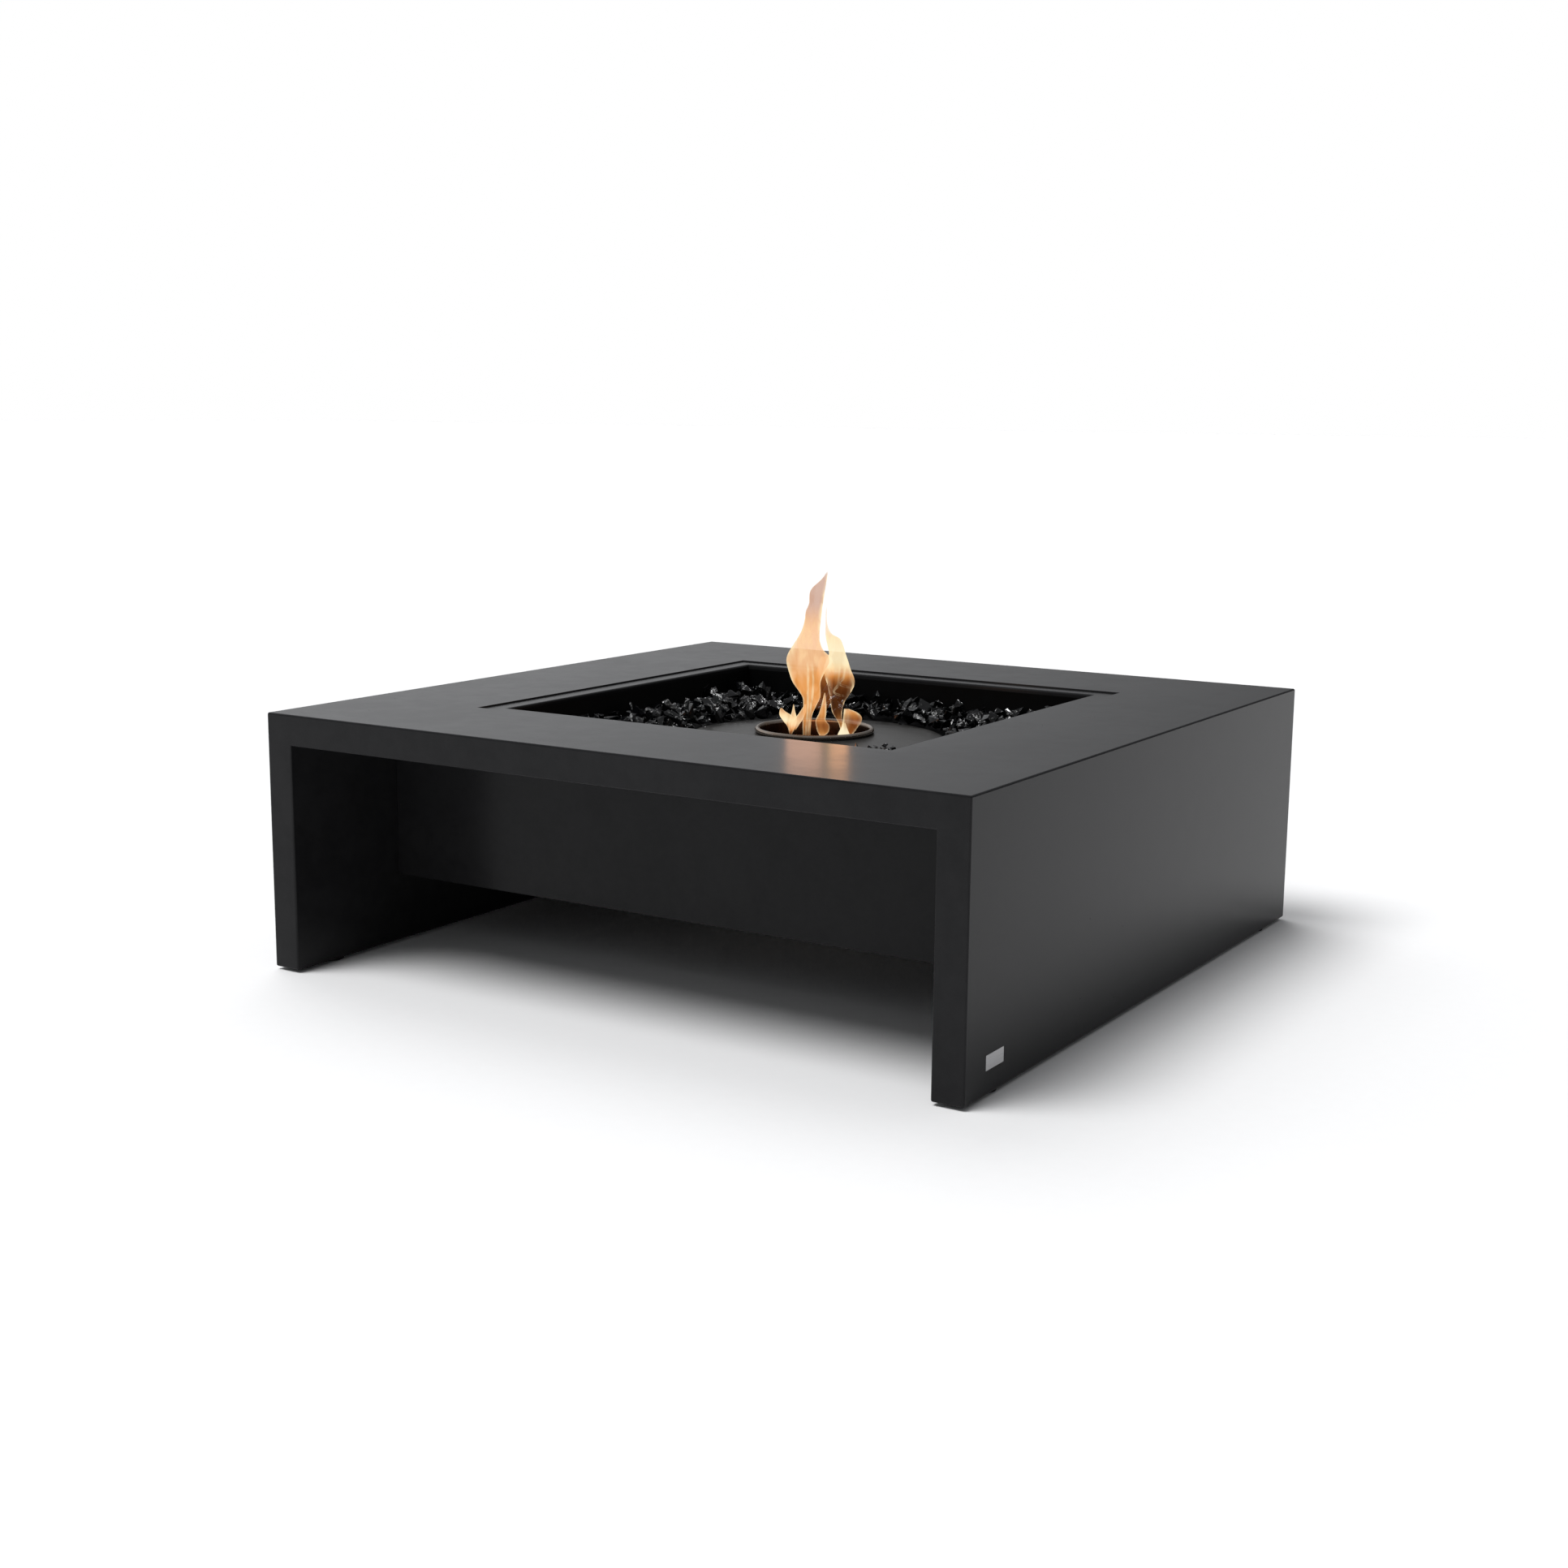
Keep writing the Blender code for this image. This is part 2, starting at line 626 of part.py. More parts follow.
def burner(tray_empty, black, steel):
    lift = body_empty("burner", (BURNER_X, 0, 0), tray_empty)
    burner_plate(lift, black)
    can = cup_mesh("burner_can", CAN_R, CAN_SHEET, CAN_BOTTOM, CAN_TOP)
    tank = cup_mesh("fuel_tank", TANK_R, TANK_SHEET, TANK_BOTTOM, CAN_TOP)
    node("burner_can", can, steel, lift)
    node("fuel_tank", tank, steel, lift)
    tank_spacers(lift, steel)
    mouth_collar(lift, steel)
    fuel_baffle(lift, steel)
    ring_lift = body_empty("ring", parent=lift)
    efficiency_ring(ring_lift, steel)


def main():
    clear_scene()
    concrete = material("concrete", (0.045, 0.045, 0.047), 0.62, 0.0)
    paint = material("black_steel", (0.010, 0.010, 0.011), 0.45, 0.0)
    plate = material("burner_black", (0.035, 0.035, 0.036), 0.35, 0.0)
    steel = material("stainless", (0.45, 0.44, 0.42), 0.30, 1.0)
    bolts = material("zinc_steel", (0.50, 0.50, 0.48), 0.40, 1.0)
    brushed = material("badge_steel", (0.62, 0.62, 0.63), 0.35, 1.0)
    glass = material("black_glass", (0.010, 0.010, 0.012), 0.06, 0.0)
    rubber = material("pad_rubber", (0.015, 0.015, 0.015), 0.85, 0.0)
    body = table_body(concrete)
    aprons = {name: apron(f"{name}_apron", side, concrete) for name, side in SIDES.items()}
    firebox(body, aprons, paint, bolts, bolts)
    badge(brushed)
    levelling_feet(body, rubber, bolts, bolts)
    tray_empty = body_empty("tray")
    burner_tray(tray_empty, paint)
    glass_bed(tray_empty, glass)
    burner(tray_empty, plate, steel)


main()
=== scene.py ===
"""Looks for the fire table: materials, loose black glass, finely turned burner pieces, a staged
flame, floor, light and camera. Metres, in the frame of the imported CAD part."""

import json
import math

import bmesh
import bpy
import numpy as np
from mathutils import Matrix, Vector

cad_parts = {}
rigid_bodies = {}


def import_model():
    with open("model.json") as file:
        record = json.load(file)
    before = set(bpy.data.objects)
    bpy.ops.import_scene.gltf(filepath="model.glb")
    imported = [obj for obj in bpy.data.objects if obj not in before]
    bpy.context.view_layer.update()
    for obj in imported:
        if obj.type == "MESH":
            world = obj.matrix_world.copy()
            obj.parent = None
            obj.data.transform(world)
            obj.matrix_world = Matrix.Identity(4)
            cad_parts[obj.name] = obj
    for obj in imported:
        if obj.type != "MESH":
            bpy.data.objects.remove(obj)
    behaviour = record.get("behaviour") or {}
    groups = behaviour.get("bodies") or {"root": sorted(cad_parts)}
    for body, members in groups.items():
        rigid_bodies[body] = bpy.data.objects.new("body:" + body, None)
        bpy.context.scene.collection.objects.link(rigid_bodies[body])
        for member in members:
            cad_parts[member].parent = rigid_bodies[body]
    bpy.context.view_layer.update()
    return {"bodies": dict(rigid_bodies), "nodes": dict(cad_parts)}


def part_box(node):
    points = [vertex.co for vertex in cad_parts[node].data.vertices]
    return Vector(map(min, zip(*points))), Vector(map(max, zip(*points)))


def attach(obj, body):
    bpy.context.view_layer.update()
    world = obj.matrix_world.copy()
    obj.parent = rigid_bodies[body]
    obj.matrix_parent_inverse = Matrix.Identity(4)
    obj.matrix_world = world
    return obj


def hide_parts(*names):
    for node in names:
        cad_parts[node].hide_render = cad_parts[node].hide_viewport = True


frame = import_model()
NODES = frame["nodes"]

TOP_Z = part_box("table_body")[1].z
PLATE_LOW, PLATE_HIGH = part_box("burner_plate")
BURNER_X = (PLATE_LOW.x + PLATE_HIGH.x) / 2
PLATE_R = (PLATE_HIGH.x - PLATE_LOW.x) / 2
PLATE_HOLE_R = 0.0768
PLATE_EDGE_TOP = 0.2860  # the plate is a shallow cone
MOUTH_SHADE_TOP = 0.2970  # steel under this height
MOUTH_SHADE_R = 0.0754  # and within this radius is darkened: painted shade
SMOOTH_ANGLE = math.radians(40)

# Camera at the photograph's viewing angle
CAMERA_AT = (1.436, -2.345, 0.723)
CAMERA_AZIMUTH = math.radians(-32.18)
CAMERA_ELEVATION = math.radians(-10.35)
CAMERA_ROLL = math.radians(0.51)
CAMERA_LENS = 47.49


# Shader nodes

def add(tree, kind, inputs=None, **props):
    """A node with its properties set, and its inputs set or linked by name or number."""
    made = tree.nodes.new(kind)
    for key, value in props.items():
        setattr(made, key, value)
    for key, value in (inputs or {}).items():
        if isinstance(value, bpy.types.NodeSocket):
            tree.links.new(value, made.inputs[key])
        else:
            made.inputs[key].default_value = value
    return made


def math_node(tree, operation, *values, clamp=False):
    inputs = dict(enumerate(values))
    return add(tree, "ShaderNodeMath", inputs, operation=operation, use_clamp=clamp).outputs[0]


def ramp(tree, value, low, high, to_low=0.0, to_high=1.0, smooth=True):
    """value from low..high to to_low..to_high, held at both ends."""
    kind = "SMOOTHSTEP" if smooth else "LINEAR"
    inputs = {0: value, 1: low, 2: high, 3: to_low, 4: to_high}
    return add(tree, "ShaderNodeMapRange", inputs, interpolation_type=kind).outputs[0]


def mix_colour(tree, factor, first, second):
    made = add(tree, "ShaderNodeMix", data_type="RGBA")
    for key, value in ((0, factor), (6, first), (7, second)):
        if isinstance(value, bpy.types.NodeSocket):
            tree.links.new(value, made.inputs[key])
        else:
            made.inputs[key].default_value = value if key == 0 else (*value, 1.0)
    return made.outputs[2]


def noise(tree, where, scale, detail=3.0, roughness=0.5, distortion=0.0):
    inputs = {"Vector": where, "Scale": scale, "Detail": detail, "Roughness": roughness,
              "Distortion": distortion}
    return add(tree, "ShaderNodeTexNoise", inputs).outputs["Fac"]


def stretched(tree, where, scale):
    """Coordinates scaled by axis, for brushed and drawn patterns."""
    return add(tree, "ShaderNodeMapping", {"Vector": where, "Scale": scale}).outputs[0]


def bump(tree, height, strength, distance, normal=None):
    inputs = {"Height": height, "Strength": strength, "Distance": distance}
    if normal is not None:
        inputs["Normal"] = normal
    return add(tree, "ShaderNodeBump", inputs).outputs[0]


def round_burner(tree, where):
    """Radius and angle round the burner's axis, and the height."""
    centred = add(tree, "ShaderNodeVectorMath", {0: where, 1: (BURNER_X, 0, 0)},
                  operation="SUBTRACT").outputs[0]
    x, y, z = add(tree, "ShaderNodeSeparateXYZ", {0: centred}).outputs[:3]
    squares = math_node(tree, "ADD", math_node(tree, "MULTIPLY", x, x),
                        math_node(tree, "MULTIPLY", y, y))
    return math_node(tree, "SQRT", squares), math_node(tree, "ARCTAN2", y, x), z


def new_material(name):
    """A material with one Principled shader: its tree, the shader and object coordinates."""
    made = bpy.data.materials.new(name)
    made.use_nodes = True
    tree = made.node_tree
    shader = tree.nodes["Principled BSDF"]
    return made, tree, shader, add(tree, "ShaderNodeTexCoord").outputs["Object"]


def wire(tree, shader, **links):
    """Links or sets the shader's inputs; an underscore stands for a space."""
    for key, value in links.items():
        socket = shader.inputs[key.replace("_", " ")]
        if isinstance(value, bpy.types.NodeSocket):
            tree.links.new(value, socket)
        else:
            socket.default_value = value


# Materials

def concrete_material():
    """Graphite sealed concrete: cloudy casting marks, fine sand, a few pinholes."""
    made, tree, shader, where = new_material("sealed_concrete")
    cloud = noise(tree, where, 4.5, 5, 0.6, 0.4)
    mottle = noise(tree, where, 34.0, 6, 0.62)
    sand = noise(tree, where, 900.0, 2, 0.6)
    pores = add(tree, "ShaderNodeTexVoronoi", {"Vector": where, "Scale": 42.0})
    chosen = math_node(tree, "GREATER_THAN",
                       add(tree, "ShaderNodeSeparateColor", {0: pores.outputs["Color"]}).outputs[0],
                       0.80)
    pore = math_node(tree, "MULTIPLY", ramp(tree, pores.outputs["Distance"], 0.022, 0.040, 1, 0),
                     chosen)
    blend = math_node(tree, "ADD", math_node(tree, "MULTIPLY", cloud, 0.55),
                      math_node(tree, "MULTIPLY", mottle, 0.45))
    base = mix_colour(tree, ramp(tree, blend, 0.36, 0.64), (0.0112, 0.0113, 0.0121),
                      (0.0155, 0.0155, 0.0164))
    base = mix_colour(tree, ramp(tree, sand, 0.52, 0.75, 0, 0.25), base, (0.027, 0.027, 0.028))
    base = mix_colour(tree, pore, base, (0.003, 0.003, 0.003))
    rough = math_node(tree, "ADD", ramp(tree, blend, 0.35, 0.65, 0.175, 0.215),
                      math_node(tree, "MULTIPLY", sand, 0.03))
    rough = math_node(tree, "ADD", rough, math_node(tree, "MULTIPLY", pore, 0.3))
    trowel = bump(tree, mottle, 0.05, 0.0005)
    grain = bump(tree, sand, 0.08, 0.00010, trowel)
    holes = bump(tree, math_node(tree, "SUBTRACT", 1.0, pore), 0.5, 0.0004, grain)
    wire(tree, shader, Base_Color=base, Roughness=rough, Normal=holes, IOR=1.207)
    return made


def powder_material():
    """Black powder coat with a fine orange peel."""
    made, tree, shader, where = new_material("black_powder_coat")
    peel = noise(tree, where, 850.0, 2, 0.5)
    dust = noise(tree, where, 14.0, 4, 0.6)
    base = mix_colour(tree, ramp(tree, dust, 0.4, 0.75), (0.0014, 0.0014, 0.0015),
                      (0.0030, 0.0030, 0.0032))
    wire(tree, shader, Base_Color=base, Roughness=ramp(tree, dust, 0.3, 0.7, 0.50, 0.62),
         Normal=bump(tree, peel, 0.22, 0.0002), IOR=1.22)
    return made


def plate_material():
    """Satin heat-proof coating over round-brushed steel, with faint soot near the mouth."""
    made, tree, shader, where = new_material("burner_coating")
    radius, angle, _ = round_burner(tree, where)
    turned = add(tree, "ShaderNodeCombineXYZ", {
        0: math_node(tree, "MULTIPLY", radius, 900.0),
        1: math_node(tree, "MULTIPLY", angle, 3.0)}).outputs[0]
    brushed = noise(tree, turned, 1.0, 3, 0.6)
    cloud = noise(tree, where, 22.0, 5, 0.6)
    base = mix_colour(tree, ramp(tree, cloud, 0.35, 0.7), (0.034, 0.033, 0.032),
                      (0.052, 0.051, 0.049))
    mouth_darkening = ramp(tree, radius, 0.074, 0.100, 0.55, 0.0)
    base = mix_colour(tree, math_node(tree, "MULTIPLY", mouth_darkening, cloud), base,
                      (0.010, 0.009, 0.008))
    rough = math_node(tree, "ADD", ramp(tree, cloud, 0.3, 0.7, 0.24, 0.34),
                      math_node(tree, "MULTIPLY", brushed, 0.06))
    wire(tree, shader, Base_Color=base, Roughness=rough, Metallic=0.35,
         Normal=bump(tree, brushed, 0.06, 0.0001), IOR=1.5)
    return made


def steel_material(name, colour, rough, tint=0.0, turned=True):
    """Brushed steel, turned round the burner or drawn along X, with heat tint, and painted shade
    inside the mouth.
    """
    made, tree, shader, where = new_material(name)
    if turned:
        radius, angle, height = round_burner(tree, where)
        across = add(tree, "ShaderNodeCombineXYZ", {
            0: math_node(tree, "MULTIPLY", angle, 2.5),
            1: math_node(tree, "MULTIPLY", radius, 1500.0),
            2: math_node(tree, "MULTIPLY", height, 1500.0)}).outputs[0]
        lines = noise(tree, across, 1.0, 2, 0.55)
    else:
        lines = noise(tree, stretched(tree, where, (30.0, 30.0, 2400.0)), 1.0, 2, 0.55)
    cloud = noise(tree, where, 26.0, 4, 0.6)
    base = mix_colour(tree, ramp(tree, lines, 0.3, 0.7), tuple(0.82 * c for c in colour), colour)
    if tint:
        base = mix_colour(tree, math_node(tree, "MULTIPLY", ramp(tree, cloud, 0.3, 0.65), tint),
                          base, (0.30, 0.17, 0.075))
    if turned:  # painted shade inside the mouth, warm dark brown
        inner = ramp(tree, height, MOUTH_SHADE_TOP, MOUTH_SHADE_TOP - 0.0012)
        inner = math_node(tree, "MULTIPLY", inner, ramp(tree, radius, MOUTH_SHADE_R, MOUTH_SHADE_R - 0.0004))
        # the painted shade's dark brown colours
        mouth_darkening = mix_colour(tree, ramp(tree, cloud, 0.35, 0.65), (0.060, 0.038, 0.028),
                          (0.13, 0.070, 0.042))
        base = mix_colour(tree, inner, base, mouth_darkening)
    bright = math_node(tree, "ADD", ramp(tree, cloud, 0.3, 0.7, rough, rough + 0.08),
                       math_node(tree, "MULTIPLY", lines, 0.06))
    wire(tree, shader, Base_Color=base, Metallic=1.0, Roughness=bright,
         Normal=bump(tree, lines, 0.10, 0.00008))
    return made


def zinc_material():
    """Passivated zinc: faint spangle and dulled patches."""
    made, tree, shader, where = new_material("zinc_plate")
    spangle = add(tree, "ShaderNodeTexVoronoi", {"Vector": where, "Scale": 420.0})
    patches = noise(tree, where, 180.0, 3, 0.6)
    shade = add(tree, "ShaderNodeSeparateColor", {0: spangle.outputs["Color"]}).outputs[0]
    base = mix_colour(tree, shade, (0.36, 0.36, 0.35), (0.52, 0.52, 0.50))
    base = mix_colour(tree, ramp(tree, patches, 0.5, 0.75, 0, 0.5), base, (0.20, 0.20, 0.19))
    wire(tree, shader, Base_Color=base, Metallic=1.0,
         Roughness=ramp(tree, patches, 0.3, 0.7, 0.34, 0.52),
         Normal=bump(tree, shade, 0.08, 0.00005))
    return made


def rubber_material():
    made, tree, shader, where = new_material("pad_rubber")
    speck = noise(tree, where, 1300.0, 2, 0.6)
    dust = noise(tree, where, 90.0, 4, 0.6)
    base = mix_colour(tree, ramp(tree, dust, 0.45, 0.8, 0, 0.6), (0.012, 0.012, 0.012),
                      (0.060, 0.056, 0.050))
    wire(tree, shader, Base_Color=base, Roughness=ramp(tree, dust, 0.3, 0.7, 0.70, 0.88),
         Normal=bump(tree, speck, 0.3, 0.0001), IOR=1.4)
    return made


def glass_material():
    """Opaque black crushed glass: glossy broken faces with faint ripples and dusty patches."""
    made, tree, shader, where = new_material("crushed_black_glass")
    ripple = noise(tree, where, 170.0, 2, 0.5, 1.0)
    chip = noise(tree, where, 560.0, 2, 0.5, 0.6)
    dust = noise(tree, where, 70.0, 4, 0.65)
    base = mix_colour(tree, ramp(tree, dust, 0.58, 0.82, 0, 0.6), (0.0022, 0.0023, 0.0028),
                      (0.011, 0.011, 0.013))
    rough = ramp(tree, dust, 0.50, 0.75, 0.015, 0.09)
    wire(tree, shader, Base_Color=base, Roughness=rough, IOR=1.50,
         Normal=bump(tree, chip, 0.07, 0.0003, bump(tree, ripple, 0.38, 0.0018)))
    return made


# Meshes

def link(name, mesh, finish):
    obj = bpy.data.objects.new(name, mesh)
    bpy.context.scene.collection.objects.link(obj)
    mesh.materials.clear()
    mesh.materials.append(finish)
    return obj


def mesh_from(name, points, faces):
    mesh = bpy.data.meshes.new(name)
    mesh.from_pydata([tuple(map(float, p)) for p in points], [],
                     [tuple(map(int, f)) for f in faces])
    mesh.update()
    return mesh


def arc(centre, radius, start_deg, end_deg, steps):
    angles = np.radians(np.linspace(start_deg, end_deg, steps + 1))
    return [(centre[0] + radius * math.cos(a), centre[1] + radius * math.sin(a)) for a in angles]


def lathed(name, outline, steps, finish):
    """A closed (r, z) outline turned round the burner's axis, smooth but for its sharp edges."""
    count = len(outline)
    turns = np.arange(steps) * (math.tau / steps)
    rings = np.array(outline)
    points = np.stack([
        BURNER_X + np.outer(np.cos(turns), rings[:, 0]), np.outer(np.sin(turns), rings[:, 0]),
        np.tile(rings[:, 1], (steps, 1))], axis=-1).reshape(-1, 3)
    faces = []
    for i in range(steps):
        k = (i + 1) % steps
        for j in range(count):
            m = (j + 1) % count
            faces.append((i * count + j, k * count + j, k * count + m, i * count + m))
    mesh = mesh_from(name, points, faces)
    bm = bmesh.new()
    bm.from_mesh(mesh)
    bmesh.ops.recalc_face_normals(bm, faces=bm.faces)
    bm.to_mesh(mesh)
    bm.free()
    mesh.shade_smooth()
    mesh.set_sharp_from_angle(angle=SMOOTH_ANGLE)
    return link(name, mesh, finish)


def smooth_group():
    """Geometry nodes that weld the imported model's loose facets and shade them by angle."""
    tree = bpy.data.node_groups.new("weld_and_smooth", "GeometryNodeTree")
    tree.interface.new_socket("Geometry", in_out="INPUT", socket_type="NodeSocketGeometry")
    tree.interface.new_socket("Geometry", in_out="OUTPUT", socket_type="NodeSocketGeometry")
    start = tree.nodes.new("NodeGroupInput")
    weld = add(tree, "GeometryNodeMergeByDistance",
               {"Geometry": start.outputs[0], "Distance": 0.000002})
    turn = add(tree, "GeometryNodeInputMeshEdgeAngle").outputs["Unsigned Angle"]
    sharp = add(tree, "FunctionNodeCompare", {0: turn, 1: SMOOTH_ANGLE}, data_type="FLOAT",
                operation="GREATER_THAN").outputs[0]
    shaded = add(tree, "GeometryNodeSetMeshNormal",
                 {"Mesh": weld.outputs[0], "Edge Sharpness": sharp}, mode="SHARPNESS")
    end = tree.nodes.new("NodeGroupOutput")
    tree.links.new(shaded.outputs[0], end.inputs[0])
    return tree


def finish_cad(finishes):
    """Gives each CAD node that stays in view its material and smooth shading."""
    tree = smooth_group()
    for name, obj in NODES.items():
        for slot in obj.material_slots:
            slot.link = "OBJECT"
            slot.material = finishes[slot.material.name if slot.material else
                                     obj.data.materials[0].name]
        smooth = obj.modifiers.new("smooth", "NODES")
        smooth.node_group = tree
        weighted = obj.modifiers.new("weighted", "WEIGHTED_NORMAL")
        weighted.keep_sharp = True
        weighted.weight = 100


# Crushed glass

GLASS_SEED = 41
SHAPES = 40
CHIP_COUNT = 960
CHIP_R = (0.0066, 0.0128)  # radius of the ball that a chip is packed as
CHIP_OVERSIZE = 1.42
PLATE_CLEAR = 0.0012
BED_HIGHEST = 0.3088  # no chip's middle is over this
FRONT_LOWER = 0.0070  # the bed lies this much lower near the front,
FRONT_AWAY = 0.10  # all of it from this far in front of the middle
TRAY_WALL = 0.0024  # the tray's wall and the gap inside it
PLATE_CHIP_FLAT = 0.5
PLATE_CHIPS = (  # x, y and size of the chips that lie on the plate
    (0.128, -0.044, 0.0062), (0.137, -0.036, 0.0082), (0.151, -0.038, 0.0088),
    (-0.018, 0.164, 0.0070), (0.052, 0.158, 0.0050), (-0.118, 0.110, 0.0065),
    (-0.158, -0.020, 0.0055), (-0.092, -0.130, 0.0060), (0.068, -0.152, 0.0065))
SETTLE_STEPS = 260
NEAR = 0.006  # how near two balls are watched for touching
BED_START_HIGH = 0.060


def chip_shape(rng):
    """One shard as (points, faces): the hull of a few scattered points with its edges eased."""
    bm = bmesh.new()
    count = int(rng.integers(7, 12))
    rays = rng.normal(size=(count, 3))
    rays /= np.linalg.norm(rays, axis=1)[:, None]
    rays *= rng.uniform(0.78, 1.0, size=(count, 1))
    rays *= np.array([1.0, rng.uniform(0.60, 0.95), rng.uniform(0.32, 0.72)])
    corners = [bm.verts.new(p) for p in rays]
    hull = bmesh.ops.convex_hull(bm, input=corners)
    loose = [g for g in hull["geom_interior"] if isinstance(g, bmesh.types.BMVert)]
    bmesh.ops.delete(bm, geom=loose, context="VERTS")
    bmesh.ops.bevel(bm, geom=list(bm.edges), offset=0.030, segments=1, affect="EDGES",
                    clamp_overlap=True)
    bmesh.ops.remove_doubles(bm, verts=bm.verts, dist=0.004)
    bmesh.ops.recalc_face_normals(bm, faces=bm.faces)
    bm.verts.index_update()
    points = np.array([v.co[:] for v in bm.verts])
    faces = [[v.index for v in f.verts] for f in bm.faces]
    bm.free()
    return points, faces


def random_turn(rng):
    """A random rotation matrix."""
    q = rng.normal(size=4)
    w, x, y, z = q / np.linalg.norm(q)
    return np.array([
        [1 - 2 * (y * y + z * z), 2 * (x * y - z * w), 2 * (x * z + y * w)],
        [2 * (x * y + z * w), 1 - 2 * (x * x + z * z), 2 * (y * z - x * w)],
        [2 * (x * z - y * w), 2 * (y * z + x * w), 1 - 2 * (x * x + y * y)]])


def packed_balls(rng, wall, hole, floor):
    """Balls of mixed size dropped into the square tray round the burner's plate, and settled."""
    radius = rng.uniform(*CHIP_R, size=CHIP_COUNT)
    at = np.empty((CHIP_COUNT, 3))
    placed = 0
    while placed < CHIP_COUNT:
        x, y = rng.uniform(-wall, wall, size=2)
        if math.hypot(x - BURNER_X, y) > hole:
            at[placed] = x, y, floor + rng.uniform(0, BED_START_HIGH)
            placed += 1
    for step in range(SETTLE_STEPS):
        if step % 6 == 0:
            gap = at[:, None, :] - at[None, :, :]
            reach = radius[:, None] + radius[None, :] + NEAR
            first, second = np.nonzero(np.triu((gap ** 2).sum(-1) < reach ** 2, 1))
        at[:, 2] -= 0.0011 if step < 0.8 * SETTLE_STEPS else 0.0003
        for _ in range(3):
            gap = at[first] - at[second]
            apart = np.sqrt((gap ** 2).sum(-1)) + 1e-9
            lap = np.clip(radius[first] + radius[second] - apart, 0, None)
            push = gap * (0.34 * lap / apart)[:, None]
            for k in range(3):
                at[:, k] += np.bincount(first, push[:, k], CHIP_COUNT)
                at[:, k] -= np.bincount(second, push[:, k], CHIP_COUNT)
            at[:, 0] = np.clip(at[:, 0], -wall + radius, wall - radius)
            at[:, 1] = np.clip(at[:, 1], -wall + radius, wall - radius)
            outward = at[:, :2] - (BURNER_X, 0)
            out = np.hypot(outward[:, 0], outward[:, 1])
            short = np.clip(hole + radius - out, 0, None)
            at[:, :2] += outward / out[:, None] * short[:, None]
            at[:, 2] = np.maximum(at[:, 2], floor + radius)
    return at, radius


def glass_pieces(finish):
    """The bed of loose glass on the tray, and a few chips that fell on the burner's plate."""
    rng = np.random.default_rng(GLASS_SEED)
    shapes = [chip_shape(rng) for _ in range(SHAPES)]
    _, tray_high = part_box("burner_tray")
    bed_low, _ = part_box("glass_bed")
    wall = tray_high.x - TRAY_WALL
    clear = PLATE_R + PLATE_CLEAR
    middle = np.array([BURNER_X, 0])
    centres, radii = packed_balls(rng, wall, clear, bed_low.z)
    points, faces, used = [], [], 0
    for centre, radius in zip(centres, radii):
        back = centre[0] * DEPTH.x + centre[1] * DEPTH.y
        if centre[2] > BED_HIGHEST - FRONT_LOWER * min(max(-back / FRONT_AWAY, 0.0), 1.0):
            continue
        shape, sides = shapes[int(rng.integers(SHAPES))]
        chip = shape * (radius * CHIP_OVERSIZE * rng.uniform(0.9, 1.08)) @ random_turn(rng).T
        chip = chip + centre
        chip[:, :2] += np.clip(-wall - chip[:, :2].min(0), 0, None)
        chip[:, :2] -= np.clip(chip[:, :2].max(0) - wall, 0, None)
        chip[:, 2] += max(0.0, bed_low.z - chip[:, 2].min())
        outward = (centre[:2] - middle) / np.linalg.norm(centre[:2] - middle)
        chip[:, :2] += outward * max(0.0, clear - ((chip[:, :2] - middle) @ outward).min())
        points.append(chip)
        faces += [[i + used for i in side] for side in sides]
        used += len(chip)
    bed = link("glass_chips", mesh_from("glass_chips", np.concatenate(points), faces), finish)
    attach(bed, "tray")
    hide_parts("glass_bed")

    points, faces, used = [], [], 0
    slope = (PLATE_HIGH.z - PLATE_EDGE_TOP) / (PLATE_R - PLATE_HOLE_R)
    for x, y, radius in PLATE_CHIPS:
        shape, sides = shapes[int(rng.integers(SHAPES))]
        chip = shape * radius @ random_turn(rng).T
        chip[:, 2] *= PLATE_CHIP_FLAT
        chip += np.array([x, y, 0])
        reach = np.hypot(chip[:, 0] - BURNER_X, chip[:, 1])
        under = PLATE_EDGE_TOP + slope * (PLATE_R - reach)
        chip[:, 2] += (under - chip[:, 2]).max() + 0.0002
        points.append(chip)
        faces += [[i + used for i in side] for side in sides]
        used += len(chip)
    few = link("plate_chips", mesh_from("plate_chips", np.concatenate(points), faces), finish)
    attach(few, "burner")


# Burner pieces turned finely

FINE_STEPS = 256


